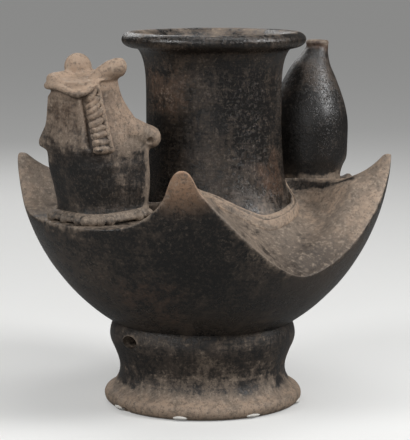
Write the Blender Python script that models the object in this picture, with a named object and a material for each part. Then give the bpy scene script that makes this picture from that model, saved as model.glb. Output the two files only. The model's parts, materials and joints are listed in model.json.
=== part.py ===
"""Lizard effigy vessel of burnished blackware, modelled member by member.

Metres, +Z up. The origin is the centre of the foot's rest face, the lizard's head is toward -Y and
the tail spout toward +Y. Each clay member is its own solid, set a hair's breadth from its neighbour
where the potter luted the two together.
"""
import math

import bmesh
import bpy
from mathutils import Vector

# Joints between the luted members
LUTE_GAP = 0.0003
SEAT_GAP = 0.0006
NECK_SEAT_GAP = 0.0009

# Mesh fineness
AROUND = 64
TURNED_AROUND = 48
SMALL_AROUND = 24
SMOOTH_ANGLE = math.radians(40)

# Foot: a coil on the ground and a waisted wall above it, set under the round bowl
LIP_RADIUS = 0.065
LIP_HEIGHT = 0.010
FOOT_WALL = 0.008
FOOT_WAIST_RADIUS = 0.0545
FOOT_WAIST_Z = 0.024
FOOT_COLLAR_RADIUS = 0.0610
FOOT_COLLAR_Z = 0.044
FOOT_TOP_RADIUS = 0.0590
VENT_WIDTH = 0.013
VENT_HEIGHT = 0.007
NOTCH_WIDTH = 0.008
NOTCH_HEIGHT = 0.003
FOOT_FLARE_SHARE = 0.4
FOOT_SHOULDER_SHARE = 0.55
FOOT_INNER_BEVEL = 0.0008

# White fills in chips of the foot's lip: their directions round the foot and their size
FILL_ANGLES = {"front": -97, "near": -52, "side": -9, "far": 36}
FILL_RADIUS = 0.0045
FILL_DEPTH = 0.0009
FILL_Z = 0.003

# Bowl: the lower part of a round egg shape, cut to a scalloped edge
BOWL_RADIUS = 0.1215
BOWL_BOTTOM_Z = 0.037
BOWL_DEPTH = 0.133
BOWL_WIDEST_Z = BOWL_BOTTOM_Z + BOWL_DEPTH
BOWL_WALL = 0.006
FLANK_EDGE_Z = 0.095
HEAD_EDGE_Z = 0.127
SPOUT_EDGE_Z = 0.139
POINT_TOP_Z = 0.165
CORNER_Z = 0.146
FLANK_SHARPNESS = 1.8
END_SHARPNESS = 3.6

# Points: pinched horns on the four corners, with their directions and their drop below the tallest
POINT_ANGLES = {"front_right": -45, "front_left": -135, "back_right": 45, "back_left": 135}
POINT_DROPS = {"front_right": 0.0, "front_left": 0.004, "back_right": 0.002, "back_left": 0.003}
POINT_WIDTH = 0.030
POINT_TOP_WIDTH = 0.009
POINT_DEPTH = 0.017
POINT_TOP_DEPTH = 0.006
POINT_TAPER = 1.3
POINT_INSET = 0.0006

# Shoulder: four hips from the neck to the corners, four hollow facets between them, and the room that
# it leaves for the head and the spout between the neck and the bowl's girth
SHOULDER_WALL = 0.006
SIDE_ROOM = 0.078
NECK_RADIUS = BOWL_RADIUS - SIDE_ROOM
NECK_OPENING_INSET = 0.0035
NECK_OPENING_RADIUS = NECK_RADIUS - NECK_OPENING_INSET
HIP_Z = 0.143
FLANK_NECK_Z = 0.134
HEAD_NECK_Z = 0.131
SPOUT_NECK_Z = 0.141
FACET_SAG = 0.002
SHOULDER_ROW_SHARES = (0.0, 0.05, 0.1, 0.14, 0.18, 0.22, 0.26, 0.3, 0.35, 0.41, 0.47, 0.53, 0.6, 0.7,
                       0.8, 1.0)

# Near the neck the hips swing toward the spout and the head, and their sides grow steeper
SPOUT_HIP_SWING = math.radians(28)
HEAD_HIP_SWING = math.radians(8)
SPOUT_HIP_STEEPNESS = 6
HEAD_HIP_STEEPNESS = 2
HIP_SWING_SHARE = 0.8

# Neck and rim
NECK_Y = 0.009
NECK_WALL = 0.0065
NECK_TOP_Z = 0.2282
NECK_BASE_Z = 0.118
NECK_BASE_FLARE = 0.013
NECK_BASE_REACH = 0.018
NECK_MOUTH_FLARE = 0.006
NECK_MOUTH_REACH = 0.008
RIM_REACH = 0.0165
RIM_RADIUS = NECK_RADIUS + RIM_REACH
RIM_HEIGHT = 0.0115
RIM_INNER_WIDTH = 0.0046
RIM_INNER_DROP = 0.0012
COIL_WIDTH = 0.008
COIL_HEIGHT = 0.005
COIL_SEAT_SHARES = (0.75, 0.5, 0.25)
COIL_LIFT = 0.0006

# Spout: height above the ground, distance of its centre in from the bowl's widest girth, radius
SPOUT_SECTIONS = (
    (0.1460, 0.0317, 0.0245),
    (0.1520, 0.0305, 0.0268),
    (0.1620, 0.0303, 0.0273),
    (0.1750, 0.0302, 0.0272),
    (0.1850, 0.0299, 0.0258),
    (0.1960, 0.0295, 0.0222),
    (0.2060, 0.0289, 0.0178),
    (0.2150, 0.0280, 0.0134),
    (0.2220, 0.0249, 0.0095),
    (0.2265, 0.0225, 0.0078),
)
SPOUT_SEAT_IN = 0.0325
SPOUT_SEAT_RADIUS = 0.0205
SPOUT_WALL = 0.0038
SPOUT_LIP_HEIGHT = 0.0048
SPOUT_LIP_SWELL = 0.0004
SPOUT_LIP_INSET = 0.001

# Head: height, distance of its centre in from the bowl's widest girth, half length, half width
HEAD_SECTIONS = (
    (0.1370, 0.0417, 0.0254, 0.0208),
    (0.1475, 0.0409, 0.0272, 0.0222),
    (0.1600, 0.0391, 0.0284, 0.0228),
    (0.1670, 0.0385, 0.0288, 0.0228),
    (0.1705, 0.0379, 0.0294, 0.0234),
    (0.1770, 0.0369, 0.0278, 0.0226),
    (0.1870, 0.0345, 0.0242, 0.0206),
    (0.1940, 0.0319, 0.0214, 0.0194),
    (0.2020, 0.0294, 0.0188, 0.0180),
    (0.2108, 0.0280, 0.0172, 0.0168),
)
HEAD_SLOPES = (0.0, 0.0, 0.0, 0.0, 0.0, 0.02, 0.05, 0.08, 0.11, 0.15)
HEAD_SEAT = (0.0419, 0.0238, 0.0196)
HEAD_WALL = 0.006
HEAD_SQUARENESS = 4.2
CAP_THICKNESS = 0.0078
CAP_OVERHANG = 0.0022
CAP_ROUNDING_SHARES = ((0.0, 0.0), (0.12, 0.8), (0.5, 1.0), (0.85, 0.7), (1.0, 0.0))
LOBE_SPREAD = 0.0145
LOBE_BACK = 0.0065
LOBE_HALF_WIDTH = 0.0062
LOBE_HALF_LENGTH = 0.0095
LOBE_HEIGHT = 0.0072
LOBE_SPLAY = 0.0035
LOBE_ROUNDING_SHARES = (1.0, 1.1, 1.08, 0.85, 0.4)
EYE_Z = 0.1765
EYE_ANGLE = math.radians(52)
EYE_RADIUS = 0.0085
EYE_LENGTH = 0.0115
EYE_SEAT_SHARES = (0.1, 0.4, 0.7, 1.0)
EYE_ROUNDING_SHARES = ((0.78, 0.35), (0.66, 0.65), (0.48, 0.88), (0.2, 1.0))
BAND_TOP_Z = 0.2075
BAND_BOTTOM_Z = 0.1725
BAND_IN = 0.026
BAND_TOP_WIDTH = 0.006
BAND_BOTTOM_WIDTH = 0.015
BAND_FLOOR = 0.0012
BAND_RELIEF = 0.0022
BAND_BAR_SHARE = 0.8
BAND_BARS = 9
BAND_COLUMN_SHARES = (-1.0, -0.74, -0.6, 0.6, 0.74, 1.0)
BAND_FRAME_SHARE = 0.7
THROAT_COIL_HEIGHT = 0.0018
THROAT_COIL_ANGLE = math.radians(-45)
THROAT_COIL_SPREAD = math.radians(14)
THROAT_COIL_FLARE = 0.0030
THROAT_COIL_END_SHARE = 0.6
BEAD_RADIUS = 0.0025
BEAD_WAIST = 0.0015
BEAD_COUNT = 15
BEAD_HALF_SWEEP = math.radians(115)

# Colours of the fired clay and of the fill
BLACK_CLAY = (0.030, 0.024, 0.020)
BROWN_CLAY = (0.075, 0.055, 0.040)
TAUPE_CLAY = (0.170, 0.130, 0.098)
ORANGE_CLAY = (0.210, 0.125, 0.072)
RED_CLAY = (0.150, 0.075, 0.045)
WHITE_FILL = (0.720, 0.700, 0.660)

QUARTER_TURN = math.pi / 2


def material(name, colour, roughness):
    """A matt or burnished clay finish."""
    finish = bpy.data.materials.new(name)
    finish.use_nodes = True
    shader = finish.node_tree.nodes["Principled BSDF"]
    shader.inputs["Base Color"].default_value = (*colour, 1.0)
    shader.inputs["Roughness"].default_value = roughness
    shader.inputs["Metallic"].default_value = 0.0
    return finish


def add_solid(name, verts, faces, colour, roughness=0.45):
    """Make one closed body of the given faces, turned outward and shaded smooth."""
    mesh = bpy.data.meshes.new(name)
    mesh.from_pydata([tuple(vert) for vert in verts], [], faces)
    shaper = bmesh.new()
    shaper.from_mesh(mesh)
    bmesh.ops.recalc_face_normals(shaper, faces=shaper.faces)
    shaper.to_mesh(mesh)
    shaper.free()
    mesh.shade_smooth()
    mesh.set_sharp_from_angle(angle=SMOOTH_ANGLE)
    mesh.materials.append(material(name + "_finish", colour, roughness))
    solid = bpy.data.objects.new(name, mesh)
    bpy.context.collection.objects.link(solid)
    return solid


def loft(name, rings, colour, roughness=0.45, looped=False):
    """Join rings of points in order; the ends are closed, or meet each other when looped."""
    count = len(rings[0])
    verts = [Vector(point) for ring in rings for point in ring]
    faces = []
    for row in range(len(rings) if looped else len(rings) - 1):
        here = row * count
        there = (row + 1) % len(rings) * count
        for k in range(count):
            after = (k + 1) % count
            faces.append((here + k, here + after, there + after, there + k))
    if not looped:
        for first in (0, (len(rings) - 1) * count):
            middle = len(verts)
            verts.append(sum(verts[first:first + count], Vector()) / count)
            faces += [(first + k, first + (k + 1) % count, middle) for k in range(count)]
    return add_solid(name, verts, faces, colour, roughness)


def turned(name, profile, centre_y, colour, around=TURNED_AROUND, roughness=0.45):
    """A ring turned about a vertical axis from a closed profile of radius and height."""
    angles = [2 * math.pi * k / around for k in range(around)]
    rings = [[(r * math.cos(a), centre_y + r * math.sin(a), z) for a in angles] for r, z in profile]
    return loft(name, rings, colour, roughness, looped=True)


def cut(target, cutter, operation="DIFFERENCE"):
    """Cut a hidden body from a member, or keep only what lies inside it."""
    cutter.hide_render = True
    cutter.display_type = "WIRE"
    boolean = target.modifiers.new(cutter.name, "BOOLEAN")
    boolean.operation = operation
    boolean.solver = "EXACT"
    boolean.object = cutter


def oblong_cutter(name, place, width, height, length):
    """A rod along Y of oval section, for the vent hole and the notch."""
    angles = [2 * math.pi * k / SMALL_AROUND for k in range(SMALL_AROUND)]
    rings = []
    for end in (-0.5, 0.5):
        rings.append([(place[0] + width / 2 * math.cos(a), place[1] + end * length,
                       place[2] + height / 2 * math.sin(a)) for a in angles])
    return loft(name, rings, BLACK_CLAY)


def smooth_step(t):
    """Ease from 0 to 1."""
    return t * t * (3 - 2 * t)


def between(low, high, share):
    """The value at a share of the way from low to high."""
    return low + (high - low) * share


# Shape of the body

def from_facet(angle):
    """0 in the middle of a facet, 1 on the hip at either end of it."""
    return abs(2 * ((angle / QUARTER_TURN + 0.5) % 1.0 - 0.5))


def rise(angle):
    """The share by which the edge has risen toward the hips."""
    return from_facet(angle) ** facet_value(angle, FLANK_SHARPNESS, END_SHARPNESS, END_SHARPNESS)


def facet_value(angle, flank, spout_side, head_side):
    """Pick the value of the facet that lies in a direction."""
    facet = math.floor(angle / QUARTER_TURN + 0.5) % 4
    return (flank, spout_side, flank, head_side)[facet]


def edge_height(angle):
    """Height of the bowl's scalloped edge, flat at the corners where the points sit."""
    low = facet_value(angle, FLANK_EDGE_Z, SPOUT_EDGE_Z, HEAD_EDGE_Z)
    return min(between(low, POINT_TOP_Z, rise(angle)), CORNER_Z)


def bowl_radius(z, shrink=1.0):
    """Radius of the bowl's outer wall at a height, or of the same egg shape drawn smaller."""
    drop = (BOWL_WIDEST_Z - z) / (BOWL_DEPTH * shrink)
    return BOWL_RADIUS * shrink * math.sqrt(1 - drop * drop)


def bowl_height(radius):
    """Height of the bowl's underside at a distance from the axis."""
    return BOWL_WIDEST_Z - BOWL_DEPTH * math.sqrt(1 - (radius / BOWL_RADIUS) ** 2)


INNER_SHRINK = (BOWL_RADIUS - BOWL_WALL) / BOWL_RADIUS


def lip_inside(z):
    """Reach of the shoulder's outer side, just inside the bowl's wall."""
    return bowl_radius(z, INNER_SHRINK) - SEAT_GAP


def unswung(angle, swing):
    """The direction that a direction would have if the hips beside it weren't swung toward the ends."""
    corner = QUARTER_TURN / 2
    hip = corner + swing
    turn = math.asin(abs(math.sin(angle)))
    if turn < hip:
        turn *= corner / hip
    else:
        turn = corner + (turn - hip) * corner / (QUARTER_TURN - hip)
    return math.atan2(math.copysign(math.sin(turn), math.sin(angle)),
                      math.copysign(math.cos(turn), math.cos(angle)))


def shoulder_point(angle, share):
    """A point of the shoulder's top, from the neck's opening (0) to the bowl's wall (1)."""
    near_neck = 1 - smooth_step(min(share / HIP_SWING_SHARE, 1.0))
    swing, steepness = HEAD_HIP_SWING, HEAD_HIP_STEEPNESS
    if math.sin(angle) > 0:
        swing, steepness = SPOUT_HIP_SWING, SPOUT_HIP_STEEPNESS
    ruling = unswung(angle, swing * near_neck)
    neck_z = facet_value(ruling, FLANK_NECK_Z, SPOUT_NECK_Z, HEAD_NECK_Z)
    edge_z = facet_value(ruling, FLANK_EDGE_Z, SPOUT_EDGE_Z, HEAD_EDGE_Z)
    valley_z = between(neck_z, edge_z, share) - FACET_SAG * 4 * share * (1 - share)
    edge_lift = (edge_height(ruling) - edge_z) / (CORNER_Z - edge_z)
    lift = edge_lift ** (1 - near_neck) * from_facet(ruling) ** (steepness * near_neck)
    reach = between(NECK_OPENING_RADIUS, lip_inside(edge_height(angle)), share)
    return Vector((reach * math.cos(angle), NECK_Y * (1 - share) + reach * math.sin(angle),
                   between(valley_z, between(HIP_Z, CORNER_Z, share), lift)))


def shoulder_height(x, y):
    """Height of the shoulder's top above a place on the ground."""
    share = 0.5
    for _ in range(16):
        along = y - NECK_Y * (1 - share)
        angle = math.atan2(along, x)
        span = lip_inside(edge_height(angle)) - NECK_OPENING_RADIUS
        share = (math.hypot(x, along) - NECK_OPENING_RADIUS) / span
        share = min(max(share, 0.0), 1.0)
    return shoulder_point(angle, share).z


def seated(x, y):
    """A point that rests on the shoulder, a lute's gap above it."""
    return Vector((x, y, shoulder_height(x, y) + SEAT_GAP))


BODY_ANGLES = [2 * math.pi * k / AROUND for k in range(AROUND)]


# Foot

def foot_outline():
    """Outer side of the foot's wall from the bowl down to the lip: radius and height."""
    base_z = LIP_HEIGHT + LUTE_GAP
    flare = (LIP_RADIUS - FOOT_WAIST_RADIUS) * FOOT_FLARE_SHARE
    top_z = bowl_height(FOOT_TOP_RADIUS) - SEAT_GAP
    outline = [(FOOT_TOP_RADIUS, top_z)]
    outline.append(((FOOT_TOP_RADIUS + 2 * FOOT_COLLAR_RADIUS) / 3,
                    between(FOOT_COLLAR_Z, top_z, FOOT_SHOULDER_SHARE)))
    steps = 3
    for k in range(steps + 1):
        share = k / steps
        outline.append((between(FOOT_COLLAR_RADIUS, FOOT_WAIST_RADIUS, smooth_step(share)),
                        between(FOOT_COLLAR_Z, FOOT_WAIST_Z, share)))
    for k in range(1, steps + 1):
        share = k / steps
        outline.append((FOOT_WAIST_RADIUS + flare * share ** 2, between(FOOT_WAIST_Z, base_z, share)))
    return outline


def build_foot():
    """The waisted wall with its vent, and the coil that it stands on."""
    outer = foot_outline()
    inner = [(r - FOOT_WALL, z) for r, z in outer[::2]]
    inner[0] = (inner[0][0], bowl_height(inner[0][0]) - SEAT_GAP)
    wall = turned("foot_wall", outer + inner[::-1], 0.0, BROWN_CLAY)
    cut(wall, oblong_cutter("vent_cutter", (0, -FOOT_COLLAR_RADIUS, FOOT_COLLAR_Z),
                            VENT_WIDTH, VENT_HEIGHT, 4 * FOOT_WALL))

    top_radius = outer[-1][0]
    bore = top_radius - FOOT_WALL
    belly = LIP_RADIUS - top_radius
    profile = [(top_radius, LIP_HEIGHT)]
    steps = 5
    for k in range(1, steps + 1):
        turn = math.pi * k / (steps + 1)
        profile.append((top_radius + belly * math.sin(turn), LIP_HEIGHT / 2 * (1 + math.cos(turn))))
    profile += [(top_radius, 0.0), (bore + FOOT_INNER_BEVEL, 0.0),
                (bore, FOOT_INNER_BEVEL), (bore, LIP_HEIGHT)]
    coil = turned("foot_lip_coil", profile, 0.0, TAUPE_CLAY, roughness=0.7)
    cut(coil, oblong_cutter("notch_cutter", (0, -LIP_RADIUS, 0), NOTCH_WIDTH, 2 * NOTCH_HEIGHT, 2 * belly))

    for place, degrees in FILL_ANGLES.items():
        angle = math.radians(degrees)
        reach = LIP_RADIUS - FILL_DEPTH
        centre = (reach * math.cos(angle), reach * math.sin(angle), FILL_Z)
        cut(coil, ball("chip_cutter_" + place, centre, FILL_RADIUS))
        fill = ball("white_fill_" + place, centre, FILL_RADIUS - LUTE_GAP, WHITE_FILL)
        cut(fill, turned("fill_mould_" + place, profile, 0.0, WHITE_FILL), "INTERSECT")


def ball(name, centre, radius, colour=BLACK_CLAY):
    """A small round body."""
    rows = 6
    sides = 12
    rings = []
    for row in range(1, rows):
        tilt = math.pi * row / rows
        rings.append([(centre[0] + radius * math.sin(tilt) * math.cos(2 * math.pi * k / sides),
                       centre[1] + radius * math.sin(tilt) * math.sin(2 * math.pi * k / sides),
                       centre[2] + radius * math.cos(tilt)) for k in range(sides)])
    return loft(name, rings, colour, 0.8)


# Bowl, shoulder and points

def build_bowl():
    """The round bowl up to its scalloped edge, with its inner side."""
    rows = 8

    def ring(shrink, below_edge, share):
        points = []
        for angle in BODY_ANGLES:
            drop = BOWL_WIDEST_Z - edge_height(angle) + below_edge
            tilt = math.acos(drop / (BOWL_DEPTH * shrink)) * share
            radius = BOWL_RADIUS * shrink * math.sin(tilt)
            points.append((radius * math.cos(angle), radius * math.sin(angle),
                           BOWL_WIDEST_Z - BOWL_DEPTH * shrink * math.cos(tilt)))
        return points

    shares = [k / rows for k in range(1, rows + 1)]
    rings = [ring(INNER_SHRINK, SHOULDER_WALL, share) for share in shares[1::2]]
    rings.append(ring(INNER_SHRINK, 0.0, 1.0))
    rings += [ring(1.0, 0.0, share) for share in reversed(shares)]
    return loft("bowl", rings, BLACK_CLAY, 0.35)


def build_shoulder():
    """The saddle-shaped upper wall, open under the neck, the head and the spout."""
    top = [[shoulder_point(angle, share) for angle in BODY_ANGLES] for share in SHOULDER_ROW_SHARES]
    under = []
    for ring in reversed(top):
        under.append([point - Vector((0, 0, SHOULDER_WALL)) for point in ring])
    for k, angle in enumerate(BODY_ANGLES):
        reach = lip_inside(under[0][k].z)
        under[0][k].x = reach * math.cos(angle)
        under[0][k].y = reach * math.sin(angle)
    shoulder = loft("shoulder", top + under, BROWN_CLAY, 0.5, looped=True)
    spout_bore = SPOUT_SEAT_RADIUS - 2 * SPOUT_WALL
    cut(shoulder, shaft("spout_opening", BOWL_RADIUS - SPOUT_SEAT_IN, spout_bore, spout_bore))
    inward, half_length, half_width = HEAD_SEAT
    cut(shoulder, shaft("head_opening", inward - BOWL_RADIUS, half_length - 1.5 * HEAD_WALL,
                        half_width - 1.5 * HEAD_WALL))
    return shoulder


def shaft(name, centre_y, half_length, half_width):
    """An upright oval rod through the shoulder."""
    angles = [2 * math.pi * k / SMALL_AROUND for k in range(SMALL_AROUND)]
    rings = [[(half_width * math.cos(a), centre_y + half_length * math.sin(a), z) for a in angles]
             for z in (FLANK_EDGE_Z, POINT_TOP_Z)]
    return loft(name, rings, BLACK_CLAY)


def build_points():
    """Four pinched horns on the corners, their outer faces in line with the bowl."""
    rows = 5
    sides = 16
    for place, degrees in POINT_ANGLES.items():
        angle = math.radians(degrees)
        top_z = POINT_TOP_Z - POINT_DROPS[place]
        outward = Vector((math.cos(angle), math.sin(angle), 0))
        across = Vector((-math.sin(angle), math.cos(angle), 0))
        rings = []
        for row in range(rows + 1):
            share = row / rows
            z = between(CORNER_Z + SEAT_GAP, top_z, math.sin(share * math.pi / 2))
            narrow = (1 - share) ** POINT_TAPER
            half_width = between(POINT_TOP_WIDTH, POINT_WIDTH, narrow) / 2
            half_depth = between(POINT_TOP_DEPTH, POINT_DEPTH, narrow) / 2
            if row == rows:
                half_width /= 2
                half_depth /= 2
            middle = outward * (bowl_radius(z) - POINT_INSET - half_depth) + Vector((0, 0, z))
            ring = []
            for k in range(sides):
                turn = 2 * math.pi * k / sides
                sideways = across * half_width * math.cos(turn)
                ring.append(middle + sideways + outward * half_depth * math.sin(turn))
            rings.append(ring)
        loft(place + "_point", rings, ORANGE_CLAY, 0.6)


# Neck, rim and the coil at the neck's foot

def neck_radius(z):
    """Radius of the neck's outer side, flared at its foot and at its mouth."""
    base = NECK_BASE_FLARE * math.exp((NECK_BASE_Z - z) / NECK_BASE_REACH)
    mouth = NECK_MOUTH_FLARE * math.exp((z - NECK_TOP_Z) / NECK_MOUTH_REACH)
    return NECK_RADIUS + base + mouth


def by_neck(angle, reach):
    """A point seated on the shoulder in a direction from the neck's axis."""
    span = lip_inside(edge_height(angle)) - NECK_OPENING_RADIUS
    return shoulder_point(angle, (reach - NECK_OPENING_RADIUS) / span) + Vector((0, 0, NECK_SEAT_GAP))


def neck_foot_reach(angle):
    """How far from its axis the neck's outer side meets the shoulder."""
    reach = NECK_RADIUS
    for _ in range(12):
        reach = neck_radius(by_neck(angle, reach).z)
    return reach


def build_neck():
    """The wide neck, its foot cut to the shoulder's hips and facets."""
    rows = 7
    feet = [neck_foot_reach(angle) for angle in BODY_ANGLES]
    outer = [[by_neck(angle, reach) for angle, reach in zip(BODY_ANGLES, feet)]]
    inner = [[by_neck(angle, reach - NECK_WALL) for angle, reach in zip(BODY_ANGLES, feet)]]
    for side, thinner in ((outer, 0.0), (inner, NECK_WALL)):
        for row in range(1, rows + 1):
            ring = []
            for angle, foot in zip(BODY_ANGLES, side[0]):
                z = between(foot.z, NECK_TOP_Z, row / rows)
                reach = neck_radius(z) - thinner
                ring.append(Vector((reach * math.cos(angle), NECK_Y + reach * math.sin(angle), z)))
            side.append(ring)
    loft("neck", outer + inner[::-2], BLACK_CLAY, 0.35, looped=True)

    arc = 5
    coil = []
    for step in range(arc + 1):
        turn = math.pi * step / arc
        ring = []
        for angle, reach in zip(BODY_ANGLES, feet):
            point = by_neck(angle, reach + LUTE_GAP + COIL_WIDTH / 2 * (1 - math.cos(turn)))
            point.z += COIL_LIFT + COIL_HEIGHT * math.sin(turn)
            ring.append(point)
        coil.append(ring)
    for share in COIL_SEAT_SHARES:
        coil.append([by_neck(angle, reach + LUTE_GAP + COIL_WIDTH * share) + Vector((0, 0, COIL_LIFT))
                     for angle, reach in zip(BODY_ANGLES, feet)])
    loft("neck_base_coil", coil, TAUPE_CLAY, 0.5, looped=True)

    seat = neck_radius(NECK_TOP_Z)
    bottom = NECK_TOP_Z + LUTE_GAP
    middle = bottom + RIM_HEIGHT / 2
    profile = [(seat - NECK_WALL, bottom), (seat, bottom)]
    bulge = RIM_RADIUS - seat
    for step in range(1, 6):
        turn = math.pi * step / 6
        profile.append((seat + bulge * math.sin(turn), middle - RIM_HEIGHT / 2 * math.cos(turn)))
    profile += [(seat, bottom + RIM_HEIGHT), (seat - RIM_INNER_WIDTH, bottom + RIM_HEIGHT - RIM_INNER_DROP)]
    turned("rim_coil", profile, NECK_Y, BROWN_CLAY, roughness=0.4)


# Spout

def build_spout():
    """The bottle-shaped tail spout with its bore, and the ring at its mouth."""
    angles = [2 * math.pi * k / SMALL_AROUND for k in range(SMALL_AROUND)]

    def ring(section, thinner):
        z, inward, radius = section
        reach = radius - thinner
        return [Vector((reach * math.cos(a), BOWL_RADIUS - inward + reach * math.sin(a), z)) for a in angles]

    def seat_ring(thinner):
        reach = SPOUT_SEAT_RADIUS - thinner
        seat_y = BOWL_RADIUS - SPOUT_SEAT_IN
        return [seated(reach * math.cos(a), seat_y + reach * math.sin(a)) for a in angles]

    outer = [seat_ring(0.0)] + [ring(section, 0.0) for section in SPOUT_SECTIONS]
    inner = [seat_ring(SPOUT_WALL)] + [ring(section, SPOUT_WALL) for section in SPOUT_SECTIONS]
    loft("spout", outer + inner[::-2], BLACK_CLAY, 0.3, looped=True)

    top_z, inward, mouth_radius = SPOUT_SECTIONS[-1]
    bottom = top_z + LUTE_GAP
    profile = [(mouth_radius - SPOUT_WALL, bottom), (mouth_radius, bottom)]
    for step in range(1, 5):
        turn = math.pi * step / 5
        swell = (SPOUT_LIP_INSET + SPOUT_LIP_SWELL) * math.sin(turn) - SPOUT_LIP_INSET
        profile.append((mouth_radius + swell, bottom + SPOUT_LIP_HEIGHT * (1 - math.cos(turn)) / 2))
    profile += [(mouth_radius - 2 * SPOUT_LIP_INSET, bottom + SPOUT_LIP_HEIGHT),
                (mouth_radius - SPOUT_WALL, bottom + SPOUT_LIP_HEIGHT - SPOUT_LIP_INSET)]
    turned("spout_lip", profile, BOWL_RADIUS - inward, RED_CLAY, around=SMALL_AROUND, roughness=0.6)


# Head

HEAD_AROUND = 36


def head_section(z):
    """Centre, half length, half width and slope of the head's section at a height."""
    heights = [section[0] for section in HEAD_SECTIONS]
    k = 0
    while k < len(heights) - 2 and z > heights[k + 1]:
        k += 1
    share = min(max((z - heights[k]) / (heights[k + 1] - heights[k]), 0.0), 1.0)
    sizes = zip(HEAD_SECTIONS[k][1:], HEAD_SECTIONS[k + 1][1:])
    inward, half_length, half_width = [between(low, high, share) for low, high in sizes]
    slope = between(HEAD_SLOPES[k], HEAD_SLOPES[k + 1], share)
    return inward - BOWL_RADIUS, half_length, half_width, slope


def rounded(turn):
    """Cosine and sine of a turn, squared off to the head's box-like section."""
    power = 2 / HEAD_SQUARENESS
    return [math.copysign(abs(value) ** power, value) for value in (math.cos(turn), math.sin(turn))]


def head_point(turn, z, proud=0.0):
    """A point of the head's side, standing proud of it by a distance."""
    centre_y, half_length, half_width, slope = head_section(z)
    cosine, sine = rounded(turn)
    outward = Vector((cosine / half_width, sine / half_length, 0)).normalized()
    along = half_length * sine
    return Vector((half_width * cosine, centre_y + along, z + slope * along)) + outward * proud


def build_head():
    """The hollow head, open below into the body."""
    turns = [2 * math.pi * k / HEAD_AROUND for k in range(HEAD_AROUND)]
    heights = [section[0] for section in HEAD_SECTIONS]
    inward, seat_length, seat_width = HEAD_SEAT

    def seat_ring(thinner):
        ring = []
        for turn in turns:
            cosine, sine = rounded(turn)
            along = inward - BOWL_RADIUS + (seat_length - thinner) * sine
            ring.append(seated((seat_width - thinner) * cosine, along))
        return ring

    outer = [seat_ring(0.0)] + [[head_point(turn, z) for turn in turns] for z in heights]
    inner = [seat_ring(HEAD_WALL)]
    for z in heights[:-2]:
        inner.append([head_point(turn, z, -HEAD_WALL) for turn in turns])
    loft("head_shell", inner[::-2] + outer, BROWN_CLAY, 0.55)


def cap_ring(turns, lift, overhang):
    """An outline over the head's sloping top, raised and widened."""
    top_z = HEAD_SECTIONS[-1][0]
    centre_y, half_length, half_width, slope = head_section(top_z)
    ring = []
    for turn in turns:
        cosine, sine = rounded(turn)
        along = (half_length + overhang) * sine
        ring.append(Vector(((half_width + overhang) * cosine, centre_y + along,
                            top_z + slope * along + SEAT_GAP + lift)))
    return ring


def build_cap_and_lobes():
    """The muzzle's slab and the two nostril lobes that splay from it."""
    turns = [2 * math.pi * k / HEAD_AROUND for k in range(HEAD_AROUND)]
    rings = []
    for lift, share in CAP_ROUNDING_SHARES:
        rings.append(cap_ring(turns, lift * CAP_THICKNESS, share * CAP_OVERHANG))
    loft("muzzle_cap", rings, TAUPE_CLAY, 0.7)

    top_z = HEAD_SECTIONS[-1][0]
    centre_y, _, _, slope = head_section(top_z)
    sides = 16
    for name, side in (("right_nostril_lobe", 1), ("left_nostril_lobe", -1)):
        rings = []
        for step, size in enumerate(LOBE_ROUNDING_SHARES):
            travel = math.sin(step / (len(LOBE_ROUNDING_SHARES) - 1) * math.pi / 2)
            ring = []
            for k in range(sides):
                turn = 2 * math.pi * k / sides
                x = LOBE_SPREAD + LOBE_SPLAY * travel + LOBE_HALF_WIDTH * size * math.cos(turn)
                along = LOBE_BACK + LOBE_SPLAY * travel + LOBE_HALF_LENGTH * size * math.sin(turn)
                floor = top_z + slope * along + CAP_THICKNESS + 2 * SEAT_GAP
                ring.append(Vector((side * x, centre_y + along, floor + LOBE_HEIGHT * travel)))
            rings.append(ring)
        loft(name, rings, TAUPE_CLAY, 0.7)


def build_eyes():
    """Two bulging knobs on the back corners of the head, their undersides shaped to it."""
    sides = 12
    for name, mirror in (("right_eye_knob", False), ("left_eye_knob", True)):
        middle = math.pi - EYE_ANGLE if mirror else EYE_ANGLE
        centre = head_point(middle, EYE_Z)
        outward = (head_point(middle, EYE_Z, EYE_LENGTH) - centre).normalized()

        def spot(share, turn, proud):
            reach = EYE_RADIUS * share
            spread = reach / head_section(EYE_Z)[1]
            return head_point(middle + spread * math.cos(turn), EYE_Z + reach * math.sin(turn), proud)

        def knob_spot(share, turn, height):
            seat = spot(share, turn, SEAT_GAP)
            tip = centre + outward * EYE_LENGTH * height + spot(share, turn, 0) - spot(0, turn, 0)
            return seat.lerp(tip, height)

        turns = [2 * math.pi * k / sides for k in range(sides)]
        rings = [[spot(share, turn, SEAT_GAP) for turn in turns] for share in EYE_SEAT_SHARES]
        for share, height in EYE_ROUNDING_SHARES:
            rings.append([knob_spot(share, turn, height) for turn in turns])
        loft(name, rings, BROWN_CLAY, 0.5)


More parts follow.
